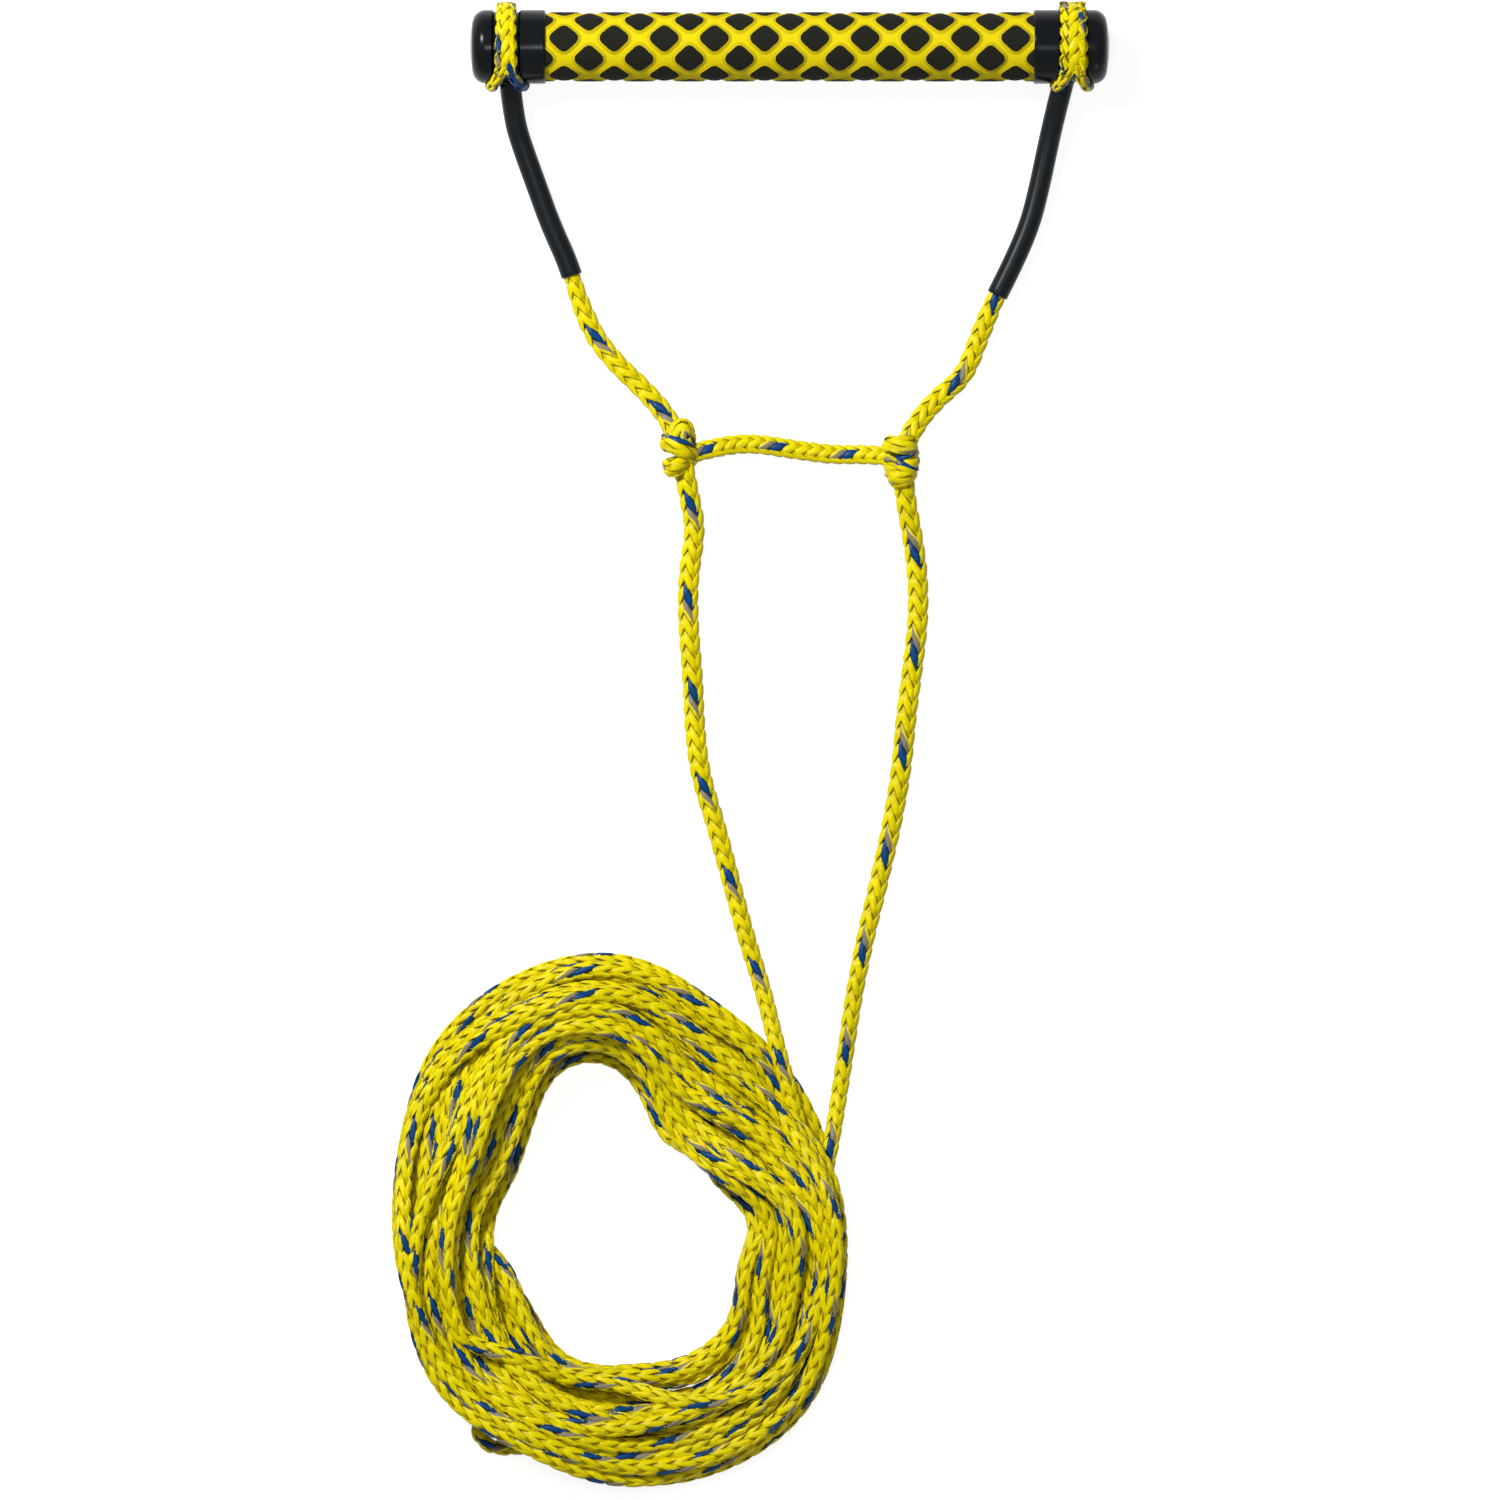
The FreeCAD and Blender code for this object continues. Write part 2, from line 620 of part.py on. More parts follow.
make_core_tube()
make_grip_sleeve()
make_grip_diamonds()
for one_side in SIDES:
    make_tube_plug(one_side)
    make_end_cap(one_side)
    make_rope_eye(one_side)
    make_hose(one_side)
    make_rope(f"upper_leg_{one_side}", upper_leg_points(one_side), size("rope_diameter"))
    make_knot(one_side)
    lower = [Vector(*point) for point in LOWER_LEG_ROUTES[one_side]]
    make_rope(f"lower_leg_{one_side}", lower, size("rope_diameter"))
make_rope("cross_rope", [Vector(*point) for point in CROSS_ROPE_ROUTE], size("rope_diameter"))
make_coil()
make_rope("tow_eye", [Vector(*point) for point in TOW_EYE_ROUTE], size("coil_rope_diameter"))
doc.recompute()

NODES = ["core_tube", "grip_sleeve", "grip_diamonds", "cross_rope", "main_line_coil", "tow_eye"]
NODES += [
    f"{name}_{one_side}"
    for name in ("tube_plug", "end_cap", "rope_eye", "hose", "upper_leg", "knot", "lower_leg")
    for one_side in SIDES
]
subparts = [doc.getObjectsByLabel(name)[0] for name in NODES]
check(subparts)
os.makedirs("parts", exist_ok=True)
for subpart in subparts:
    subpart.Shape.exportStep(f"parts/{subpart.Label}.step")
    print(subpart.Label, len(subpart.Shape.Solids), "solids", f"{subpart.Shape.Volume:.0f} mm3")
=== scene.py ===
"""Dresses a water-ski tow rope handle: foam grip, moulded caps, chafe hoses and braided floating rope.

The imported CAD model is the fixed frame: +X along the bar, -Y towards the coil, +Z up, in metres. Each
piece is made at its place in that frame. The rope is woven yarn by yarn along smooth lines, and the coiled
main line is laid turn on turn, each resting on those below it.
"""

import functools
import math

import bmesh
import bpy
import numpy as np
from bpy.props import FloatProperty, FloatVectorProperty, IntProperty, PointerProperty
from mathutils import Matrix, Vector


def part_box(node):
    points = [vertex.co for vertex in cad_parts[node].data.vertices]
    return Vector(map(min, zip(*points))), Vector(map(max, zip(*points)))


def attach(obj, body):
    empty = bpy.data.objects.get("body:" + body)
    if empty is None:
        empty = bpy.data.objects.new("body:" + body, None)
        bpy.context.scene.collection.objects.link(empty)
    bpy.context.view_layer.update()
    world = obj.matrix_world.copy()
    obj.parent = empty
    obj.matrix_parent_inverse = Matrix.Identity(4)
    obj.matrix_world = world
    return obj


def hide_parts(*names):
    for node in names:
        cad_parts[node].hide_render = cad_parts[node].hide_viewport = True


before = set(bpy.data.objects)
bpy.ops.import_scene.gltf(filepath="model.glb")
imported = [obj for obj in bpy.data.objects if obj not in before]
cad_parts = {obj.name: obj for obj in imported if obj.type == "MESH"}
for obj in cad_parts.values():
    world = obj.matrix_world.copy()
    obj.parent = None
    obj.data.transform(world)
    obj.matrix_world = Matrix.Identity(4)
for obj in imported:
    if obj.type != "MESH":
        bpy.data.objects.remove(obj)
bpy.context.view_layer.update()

bl_info = {
    "name": "Tow rope handle",
    "version": (1, 0, 0),
    "blender": (4, 5, 0),
    "location": "3D View > Sidebar > Tow Rope",
    "description": "Dresses the tow rope handle with foam, moulded caps, hoses and braided rope",
    "category": "Add Mesh",
}

SIDES = ("left", "right")
SIDE_SIGN = {"left": -1, "right": 1}
LINE = "bridle_and_line"  # the body of everything that is rope or hose
BAR = "bar"  # the body that turns in the rope eyes
UP = Vector((0, 0, 1))

BAR_AXIS = Vector((0, 0, sum(corner.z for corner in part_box("core_tube")) / 2))
EYE_FROM_END = 0.0174  # from a cap's outer end to the middle of the rope in it
EYE_MIDDLE = {
    "left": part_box("end_cap_left")[0].x + EYE_FROM_END,
    "right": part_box("end_cap_right")[1].x - EYE_FROM_END,
}
COIL_CENTRE = (-0.080, -0.560)

# Routes of the free rope, as in the part's source.
UPPER_LEG_ROUTES = {
    "left": [
        (-0.1335, -0.0183, 0.0153), (-0.1321, -0.0337, 0.0097), (-0.1278, -0.0475, 0.0066),
        (-0.1216, -0.0645, 0.0055), (-0.1146, -0.0840, 0.0055), (-0.1059, -0.1030, 0.0055),
        (-0.1009, -0.1205, 0.0047), (-0.0936, -0.1375, 0.0043), (-0.0832, -0.1505, 0.0042),
        (-0.0698, -0.1630, 0.0046), (-0.0585, -0.1760, 0.0070), (-0.0545, -0.1845, 0.0089),
    ],
    "right": [
        (0.1307, -0.0178, 0.0153), (0.1269, -0.0328, 0.0097), (0.1236, -0.0480, 0.0066),
        (0.1200, -0.0655, 0.0055), (0.1152, -0.0845, 0.0055), (0.1066, -0.1040, 0.0055),
        (0.0972, -0.1225, 0.0049), (0.0906, -0.1390, 0.0043), (0.0840, -0.1565, 0.0042),
        (0.0706, -0.1676, 0.0046), (0.0605, -0.1795, 0.0070), (0.0556, -0.1895, 0.0089),
    ],
}
HOSE_LENGTHS = {"left": 0.0965, "right": 0.1065}
CROSS_ROPE_ROUTE = [
    (-0.0470, -0.1939, 0.0086), (-0.0345, -0.1904, 0.0056), (-0.0180, -0.1885, 0.0042),
    (0.0020, -0.1918, 0.0042), (0.0220, -0.1944, 0.0042), (0.0365, -0.1940, 0.0056),
    (0.0485, -0.1952, 0.0086),
]
LOWER_LEG_ROUTES = {
    "left": [
        (-0.0508, -0.2000, 0.0089), (-0.0480, -0.2150, 0.0060), (-0.0449, -0.2300, 0.0042),
        (-0.0488, -0.2540, 0.0042), (-0.0486, -0.2770, 0.0042), (-0.0464, -0.3010, 0.0042),
        (-0.0456, -0.3250, 0.0042), (-0.0429, -0.3480, 0.0042), (-0.0356, -0.3710, 0.0042),
        (-0.0286, -0.3970, 0.0042), (-0.0208, -0.4260, 0.0042), (-0.0124, -0.4520, 0.0042),
        (-0.0059, -0.4788, 0.0042),
    ],
    "right": [
        (0.0544, -0.2035, 0.0089), (0.0560, -0.2185, 0.0060), (0.0588, -0.2320, 0.0042),
        (0.0616, -0.2520, 0.0042), (0.0618, -0.2730, 0.0042), (0.0593, -0.2950, 0.0042),
        (0.0560, -0.3190, 0.0042), (0.0540, -0.3430, 0.0042), (0.0496, -0.3700, 0.0042),
        (0.0432, -0.3980, 0.0042), (0.0364, -0.4260, 0.0042), (0.0308, -0.4540, 0.0042),
        (0.0268, -0.4820, 0.0042), (0.0233, -0.5050, 0.0042), (0.0202, -0.5232, 0.0042),
    ],
}
KNOT_CENTRES = {"left": Vector((-0.0526, -0.1915, 0.0090)), "right": Vector((0.0534, -0.1965, 0.0090))}
KNOT_TURNS = {"left": 8.0, "right": 1.5}  # degrees of a knot's lower end towards the middle
TOW_EYE_ROUTE = [
    (-0.1325, -0.6525, 0.0042), (-0.1445, -0.6530, 0.0042), (-0.1510, -0.6615, 0.0042),
    (-0.1450, -0.6705, 0.0042), (-0.1310, -0.6715, 0.0042), (-0.1200, -0.6690, 0.0042),
]

# The coil in equal steps from +X round towards +Y: how near and far its turns lie from its centre, and
# where the middles of its two bundles run between them, as a share of that width. The bundles change
# places where they cross, on the right and on the left.
COIL_REACH = [
    (0.0600, 0.1070), (0.0400, 0.1050), (0.0345, 0.1080), (0.0410, 0.1130), (0.0700, 0.1270),
    (0.0760, 0.1285), (0.0585, 0.1250), (0.0530, 0.1140), (0.0600, 0.1100), (0.0530, 0.1130),
    (0.0580, 0.1220), (0.0710, 0.1210), (0.0685, 0.1295), (0.0720, 0.1320), (0.0700, 0.1280),
    (0.0585, 0.1140),
]
LOWER_BUNDLE = [
    0.40, 0.56, 0.66, 0.68, 0.66, 0.66, 0.66, 0.66, 0.58, 0.38, 0.32, 0.32, 0.34, 0.38, 0.36, 0.34
]
UPPER_BUNDLE = [
    0.62, 0.47, 0.35, 0.31, 0.32, 0.34, 0.34, 0.34, 0.42, 0.62, 0.68, 0.66, 0.66, 0.62, 0.64, 0.66
]
BUNDLE_SPREAD = [
    0.48, 0.50, 0.44, 0.38, 0.38, 0.38, 0.38, 0.38, 0.44, 0.42, 0.37, 0.37, 0.38, 0.40, 0.42, 0.46
]
# The same for the strands over both bundles, and for the last of them, which strays inwards.
TOP_STRANDS = [
    0.88, 0.78, 0.72, 0.70, 0.62, 0.55, 0.78, 0.95, 0.95, 0.84, 0.78, 0.76, 0.76, 0.78, 0.82, 0.86
]
STRAY_STRAND = [
    0.92, 0.86, 0.72, 0.70, 0.62, 0.55, 0.55, 0.55, 0.50, 0.40, 0.15, 0.04, 0.04, 0.30, 0.58, 0.80
]
TOP_SPREAD = [
    0.12, 0.16, 0.20, 0.20, 0.20, 0.18, 0.14, 0.05, 0.05, 0.12, 0.18, 0.20, 0.20, 0.20, 0.16, 0.12
]


def linear(hex_colour):
    """An sRGB colour written #rrggbb as linear RGB."""
    channels = [int(hex_colour[at : at + 2], 16) / 255 for at in (1, 3, 5)]
    return [c / 12.92 if c <= 0.04045 else ((c + 0.055) / 1.055) ** 2.4 for c in channels]


def colour_property(name, hex_colour, description):
    colour = linear(hex_colour)
    return FloatVectorProperty(
        name=name, description=description, default=colour, subtype="COLOR", size=3, min=0.0, max=1.0
    )


def number_property(name, default, description, **more):
    return FloatProperty(name=name, description=description, default=default, **more)


def length_property(name, default, description):
    return number_property(name, default, description, min=0.0, unit="LENGTH")


class RopeSettings(bpy.types.PropertyGroup):
    """Sizes of the braided rope."""

    lay: length_property("Lay", 0.044, "Rope length in which a yarn goes once round")
    yarn_thickness: length_property("Yarn thickness", 0.0011, "Thickness of one flattened yarn")
    yarn_fill: number_property("Yarn fill", 1.3, "Width of a yarn as a share of the room that it has")
    knot_half_width: length_property("Knot half width", 0.0046, "Half the width of the rope in a knot")
    knot_half_height: length_property("Knot half height", 0.0029, "Half the height of the rope in a knot")
    knot_lay: length_property("Knot lay", 0.080, "Lay in a knot, where the rope is pulled out thin")
    weave: length_property("Weave", 0.0006, "How far a yarn rises and dips as it crosses the others")
    bridle_step: length_property("Bridle step", 0.0011, "Spacing of the bridle yarns' sections")
    coil_lay: length_property("Coil lay", 0.056, "Lay of the coiled rope, which is drawn out longer")
    coil_step: length_property("Coil step", 0.0018, "Spacing of the coil yarns' sections")
    coil_half_width: length_property("Coil half width", 0.0040, "Half the width of the coiled rope")
    coil_half_height: length_property("Coil half height", 0.0028, "Half the height of the coiled rope")
    layer_height: length_property("Layer height", 0.0026, "Height that each turn adds to those under it")
    lower_turns: number_property("Lower turns", 19.94, "Turns of the coil's lower bundle", min=1.0)
    upper_turns: number_property("Upper turns", 14.0, "Turns of the coil's upper bundle", min=1.0)
    top_turns: number_property("Top turns", 1.45, "Turns that lie over both bundles of the coil", min=1.0)
    stray_turns: number_property("Stray turns", 0.55, "Turns of the strand that strays inwards", min=0.1)
    coil_cords: IntProperty(
        name="Coil cords", description="Pieces that the coiled line is made in", default=8, min=1
    )
    coil_yarn_thickness: length_property("Coil yarn thickness", 0.0010, "Thickness of a yarn in the coil")
    main_colour: colour_property("Main yarn", "#ECDB00", "Colour of most yarns")
    # also a painted shade: this colour darkens the main yarn's rims and where it dives under others
    main_shade: colour_property("Main yarn shade", "#5E5200", "Colour between the main yarn's filaments")
    first_marker: colour_property("First marker yarn", "#023F78", "Colour of the marker yarn")
    # also a painted shade: this colour darkens the marker's rims and where it dives under others
    first_marker_shade: colour_property("Marker shade", "#031B3A", "Colour between the marker's filaments")
    second_marker: colour_property("Second marker yarn", "#877F6C", "Colour of one film of its neighbour")
    # also a painted shade: this colour darkens the second marker's rims and where it dives under others
    second_marker_shade: colour_property("Second shade", "#58533F", "Colour between its filaments")
    yellow_foam: colour_property("Yellow foam", "#D2C000", "Colour of the sleeve and the channels")
    # painted shade: the yellow foam darkened on the channels' steep walls, where shade falls
    yellow_foam_painted_shade: colour_property("Yellow foam wall", "#B09E00", "Colour on the channels' steep walls")
    black_foam: colour_property("Black foam", "#171711", "Colour of the diamonds")
    # painted shade: the black foam darkened at the diamonds' edges
    black_foam_painted_shade: colour_property("Black foam edge", "#12120C", "Colour at the diamonds' edges")


class GripSettings(bpy.types.PropertyGroup):
    """Sizes of the foam grip."""

    sleeve_length: length_property("Sleeve length", 0.2494, "Length of the foam between the caps")
    sleeve_radius: length_property("Sleeve radius", 0.0157, "Radius of the yellow foam in the channels")
    tube_radius: length_property("Tube radius", 0.0127, "Radius of the tube under the foam")
    diamond_pitch: length_property("Diamond pitch", 0.0239, "Spacing of the diamonds along the bar")
    diamond_rows: IntProperty(name="Diamond rows", description="Rows of diamonds round the bar", default=10)
    diamond_half_length: length_property("Diamond half length", 0.00852, "Half of a diamond along the bar")
    diamond_half_width: length_property("Diamond half width", 0.00739, "Half of a diamond round the bar")
    diamond_corner: length_property("Diamond corner", 0.0030, "Radius of a diamond's corners")
    diamond_height: length_property("Diamond height", 0.0008, "Height of the diamonds over the channels")


class StageSettings(bpy.types.PropertyGroup):
    """The floor, the light and the camera."""

    lens: number_property("Focal length", 200.0, "Camera lens", subtype="DISTANCE_CAMERA")
    picture_width: length_property("Picture width", 0.7185, "Width of the picture on the floor")
    camera_x: number_property("Camera X", -0.0189, "Place of the camera", unit="LENGTH")
    camera_y: number_property("Camera Y", -0.336, "Place of the camera", unit="LENGTH")
    sky_level: number_property("Sky level", 0.10, "Strength of the even light")
    key_power: number_property("Key light", 47.0, "Power of the main lamp", unit="POWER")


# --- nodes -------------------------------------------------------

# Kinds of node that are often wanted.
MATH = "ShaderNodeMath"
VECTOR_MATH = "ShaderNodeVectorMath"
ATTRIBUTE = "GeometryNodeInputNamedAttribute"
STORE = "GeometryNodeStoreNamedAttribute"
SET_MATERIAL = "GeometryNodeSetMaterial"
NOISE = "ShaderNodeTexNoise"
MAP_RANGE = "ShaderNodeMapRange"


def wire(tree, node, *given):
    """Gives a node its inputs: in their order, or by name where a dict is given.

    Each is a value, a socket, or a node, which stands for its first output.
    """
    wanted = {}
    for place, value in enumerate(given):
        wanted.update(value if isinstance(value, dict) else {place: value})
    for key, value in wanted.items():
        if isinstance(value, bpy.types.Node):
            value = value.outputs[0]
        if isinstance(value, bpy.types.NodeSocket):
            tree.links.new(value, node.inputs[key])
        else:
            node.inputs[key].default_value = value


def add(tree, kind, *given, **settings):
    """Adds a node with its settings, and with its inputs as wire takes them."""
    node = tree.nodes.new(kind)
    for name, value in settings.items():
        setattr(node, name, value)
    wire(tree, node, *given)
    return node


def geometry_tree(name, **titles):
    """A Geometry Nodes tree with its group input and output. titles names the inputs of each kind."""
    tree = bpy.data.node_groups.new(name, "GeometryNodeTree")
    tree.interface.new_socket(name="Geometry", in_out="INPUT", socket_type="NodeSocketGeometry")
    for kind, names in titles.items():
        for title in names:
            tree.interface.new_socket(name=title, in_out="INPUT", socket_type="NodeSocket" + kind)
    tree.interface.new_socket(name="Geometry", in_out="OUTPUT", socket_type="NodeSocketGeometry")
    return tree, add(tree, "NodeGroupInput"), add(tree, "NodeGroupOutput")


def show(name, data):
    """A new object of the scene."""
    shown = bpy.data.objects.new(name, data)
    bpy.context.scene.collection.objects.link(shown)
    return shown


def as_mesh(shown):
    """The plain mesh of an object as its curve or its modifiers make it."""
    return bpy.data.meshes.new_from_object(shown.evaluated_get(bpy.context.evaluated_depsgraph_get()))


def bake(name, mesh, tree, values):
    """Runs a tree on a mesh and returns an object with the plain mesh that it makes."""
    piece = show(name, mesh)
    modifier = piece.modifiers.new(tree.name, "NODES")
    modifier.node_group = tree
    for socket in tree.interface.items_tree:
        if socket.in_out == "INPUT" and socket.name in values:
            modifier[socket.identifier] = values[socket.name]
    baked = as_mesh(piece)
    piece.modifiers.clear()
    piece.data = baked
    baked.name = name
    bpy.data.meshes.remove(mesh)
    return piece


YARNS = 12  # in the braid, half of them going each way round


def braid_tree():
    """Twelve yarns woven over two and under two along a line of points.

    Each point carries the rope's half width and half height there and the direction out of the surface
    that it lies on. Six yarns go one way round and six the other. Where a yarn's place round the rope
    is in one of three sixths of it, that yarn lies over the ones that it crosses, and elsewhere under.
    """
    tree, given, result = geometry_tree(
        "Braided rope",
        Float=("Lay", "Step", "Start Turn", "Roll", "Roll Rate", "Yarn Width", "Yarn Thickness", "Weave"),
        Int=("Profile Corners", "Second Marker Place"),
        Material=("Main Yarn", "First Marker", "Second Marker"),
    )
    inputs = given.outputs
    line = add(tree, "GeometryNodeMeshToCurve", inputs["Geometry"])
    line = add(tree, "GeometryNodeResampleCurve", line, {"Length": inputs["Step"]}, mode="LENGTH")
    outward = add(tree, ATTRIBUTE, "outward", data_type="FLOAT_VECTOR")
    tangent = add(tree, "GeometryNodeInputTangent")
    side = add(tree, VECTOR_MATH, tangent, outward, operation="CROSS_PRODUCT")
    side = add(tree, VECTOR_MATH, side, operation="NORMALIZE")
    top = add(tree, VECTOR_MATH, side, tangent, operation="CROSS_PRODUCT")
    along = add(tree, "GeometryNodeSplineParameter").outputs["Length"]
    kept = add(tree, "GeometryNodeCaptureAttribute")
    for kind, title in (("VECTOR", "side"), ("VECTOR", "top"), ("FLOAT", "along")):
        kept.capture_items.new(kind, title)
    wire(tree, kept, line, {"side": side, "top": top, "along": along})
    copies = add(tree, "GeometryNodeDuplicateElements", kept, {"Amount": YARNS}, domain="SPLINE")
    number = copies.outputs["Duplicate Index"]

    # Even yarns turn one way (+1) and odd ones the other (-1), in six places each.
    way = add(tree, MATH, number, 2.0, operation="MODULO")
    way = add(tree, MATH, way, -2.0, 1.0, operation="MULTIPLY_ADD")
    pair = add(tree, MATH, number, 2.0, operation="DIVIDE")
    pair = add(tree, MATH, pair, operation="FLOOR")
    along = kept.outputs["along"]
    turns = add(tree, MATH, along, inputs["Lay"], operation="DIVIDE")
    turns = add(tree, MATH, turns, inputs["Start Turn"], operation="ADD")
    turns = add(tree, MATH, turns, way, operation="MULTIPLY")
    angle = add(tree, MATH, pair, 2 / YARNS, turns, operation="MULTIPLY_ADD")
    angle = add(tree, MATH, angle, math.tau, operation="MULTIPLY")
    over = add(tree, MATH, angle, 3.0, operation="MULTIPLY")
    over = add(tree, MATH, over, operation="SINE")
    over = add(tree, MATH, over, 1.7, operation="MULTIPLY")
    over = add(tree, "ShaderNodeClamp", over, -1.0, 1.0)
    over = add(tree, MATH, over, way, operation="MULTIPLY")
    inset = add(tree, MATH, inputs["Yarn Thickness"], 0.5, inputs["Weave"], operation="MULTIPLY_ADD")
    rise = add(tree, MATH, over, inputs["Weave"], operation="MULTIPLY")
    rise = add(tree, MATH, rise, inset, operation="SUBTRACT")
    roll = add(tree, MATH, along, inputs["Roll Rate"], operation="MULTIPLY")
    roll = add(tree, MATH, roll, inputs["Roll"], operation="ADD")
    angle = add(tree, MATH, roll, math.tau, angle, operation="MULTIPLY_ADD")

    # The yarn's middle, and the direction in which its crown points.
    place = add(tree, "GeometryNodeInputPosition")
    crown = None
    across = ("half_width", "COSINE", "side", "half_height")
    upwards = ("half_height", "SINE", "top", "half_width")
    for name, part, title, other in (across, upwards):
        reach = add(tree, ATTRIBUTE, name, data_type="FLOAT")
        facing = add(tree, ATTRIBUTE, other, data_type="FLOAT")
        share = add(tree, MATH, angle, operation=part)
        shift = add(tree, MATH, reach, rise, operation="ADD")
        shift = add(tree, MATH, shift, share, operation="MULTIPLY")
        shift = add(tree, VECTOR_MATH, kept.outputs[title], {"Scale": shift}, operation="SCALE")
        place = add(tree, VECTOR_MATH, place, shift, operation="ADD")
        lean = add(tree, MATH, facing, share, operation="MULTIPLY")
        lean = add(tree, VECTOR_MATH, kept.outputs[title], {"Scale": lean}, operation="SCALE")
        crown = add(tree, VECTOR_MATH, lean, crown, operation="ADD") if crown else lean
    crown = add(tree, VECTOR_MATH, crown, operation="NORMALIZE")
    yarns = copies
    for name, value in (("crown", crown), ("yarn", number), ("lift", over)):
        kind = "FLOAT_VECTOR" if name == "crown" else "FLOAT"
        yarns = add(tree, STORE, yarns, {"Name": name, "Value": value}, data_type=kind)
    yarns = add(tree, "GeometryNodeSetPosition", yarns, {"Position": place})
    crown = add(tree, ATTRIBUTE, "crown", data_type="FLOAT_VECTOR")
    yarns = add(tree, "GeometryNodeSetCurveNormal", yarns, {"Normal": crown}, mode="FREE")
    length = add(tree, "GeometryNodeSplineParameter").outputs["Length"]
    yarns = add(tree, STORE, yarns, {"Name": "length", "Value": length}, data_type="FLOAT")

    # A yarn's section: a crowned ribbon, closed underneath.
    width, thickness = inputs["Yarn Width"], inputs["Yarn Thickness"]
    half, minus, low, high = [
        add(tree, MATH, size, share, operation="MULTIPLY")
        for size, share in ((width, 0.5), (width, -0.5), (thickness, -0.35), (thickness, 1.35))
    ]
    corners = ((low, minus), (high, 0.0), (low, half))
    start, middle, end = [add(tree, "ShaderNodeCombineXYZ", x, y) for x, y in corners]
    ribbon = add(tree, "GeometryNodeCurveQuadraticBezier", inputs["Profile Corners"], start, middle, end)
    across = add(tree, "GeometryNodeSplineParameter").outputs["Factor"]
    ribbon = add(tree, STORE, ribbon, {"Name": "across", "Value": across}, data_type="FLOAT")
    ribbon = add(tree, "GeometryNodeSetSplineCyclic", ribbon, {"Cyclic": True})
    woven = add(tree, "GeometryNodeCurveToMesh", yarns, ribbon, {"Fill Caps": True})
    across = add(tree, ATTRIBUTE, "across", data_type="FLOAT")
    length = add(tree, ATTRIBUTE, "length", data_type="FLOAT")
    chart = add(tree, "ShaderNodeCombineXYZ", across, length)
    chart = {"Name": "UVMap", "Value": chart}
    woven = add(tree, STORE, woven, chart, data_type="FLOAT2", domain="CORNER")
    woven = add(tree, "GeometryNodeSetShadeSmooth", woven)
    woven = add(tree, "GeometryNodeRealizeInstances", woven)
    woven = add(tree, SET_MATERIAL, woven, {"Material": inputs["Main Yarn"]})
    yarn = add(tree, ATTRIBUTE, "yarn", data_type="FLOAT")
    for wanted, title in ((0.0, "First Marker"), (inputs["Second Marker Place"], "Second Marker")):
        chosen = add(tree, MATH, yarn, wanted, 0.1, operation="COMPARE")
        woven = add(tree, SET_MATERIAL, woven, chosen, inputs[title])
    wire(tree, result, woven)
    return tree


# --- materials ---------------------------------------------------


def material(name, settings):
    """A material with some inputs of its Principled shader. Returns it, its tree and the shader."""
    made = bpy.data.materials.new(name)
    made.use_nodes = True
    shader = made.node_tree.nodes["Principled BSDF"]
    wire(made.node_tree, shader, settings)
    return made, made.node_tree, shader


def yarn_material(name, colour, shade, partner=None, side="LESS_THAN"):
    """Polyethylene split-film yarn, twisted flat: fine bright filaments with darker valleys.

    The chart's first coordinate runs across the yarn and the second along it, in metres. The filaments
    are drawn 0.35 mm apart, coarser than the real ones, so that they show. The attribute lift is 1 where
    the yarn lies on top and falls where it dives under the others, and there a painted shade darkens the
    film. Towards its two rims, where it meets its neighbours, the yarn is darkened by painted shade too.
    A yarn with a partner colour is laid up from two films, and is of that colour on one side of its middle.
    """
    made, tree, shader = material(name, {"Roughness": 0.36, "IOR": 1.51, "Specular IOR Level": 0.11})
    chart = add(tree, "ShaderNodeUVMap", uv_map="UVMap")
    stretched = add(tree, "ShaderNodeMapping", chart, {"Scale": (9.0, 260.0, 1.0)})
    filaments = add(tree, NOISE, stretched, {"Scale": 1.0, "Detail": 2.0})
    place = add(tree, "ShaderNodeTexCoord").outputs["Object"]
    blotches = add(tree, NOISE, place, {"Scale": 90.0, "Detail": 1.0})
    across = add(tree, "ShaderNodeSeparateXYZ", chart).outputs["X"]
    # painted shade: the yarn is darkened towards its two rims, where it meets its neighbours
    edge = add(tree, MATH, across, 0.5, operation="SUBTRACT")
    edge = add(tree, MATH, edge, operation="ABSOLUTE")
    painted_rim_shade = {"From Min": 0.28, "From Max": 0.5, "To Min": 0.0, "To Max": 0.4}
    edge = add(tree, MAP_RANGE, edge, painted_rim_shade)
    # painted shade: the yarn is darkened where it dives under the yarns that cross it
    lift = add(tree, "ShaderNodeAttribute", attribute_name="lift")
    painted_dive_shade_range = {"From Min": 0.85, "From Max": 0.0, "To Min": 0.0, "To Max": 0.34}
    painted_dive_shade = add(tree, MAP_RANGE, lift.outputs["Fac"], painted_dive_shade_range)
    tint = add(tree, MATH, blotches, 0.35, -0.1, operation="MULTIPLY_ADD")
    mix = add(tree, MATH, filaments, 0.9, -0.28, operation="MULTIPLY_ADD")
    mix = add(tree, MATH, mix, edge, operation="MAXIMUM")
    mix = add(tree, MATH, mix, painted_dive_shade, operation="MAXIMUM")
    mix = add(tree, MATH, mix, tint, operation="ADD", use_clamp=True)
    film = (*colour, 1.0)
    if partner:
        border = 0.38 if side == "LESS_THAN" else 0.62
        half = add(tree, MATH, across, border, operation=side)
        films = {"Factor": half, "A": film, "B": (*partner, 1.0)}
        film = add(tree, "ShaderNodeMix", films, data_type="RGBA").outputs["Result"]
    colours = add(tree, "ShaderNodeMix", {"Factor": mix, "A": film, "B": (*shade, 1.0)}, data_type="RGBA")
    bump = add(tree, "ShaderNodeBump", {"Strength": 0.5, "Distance": 0.0004, "Height": filaments})
    wire(tree, shader, {"Base Color": colours.outputs["Result"], "Normal": bump})
    return made


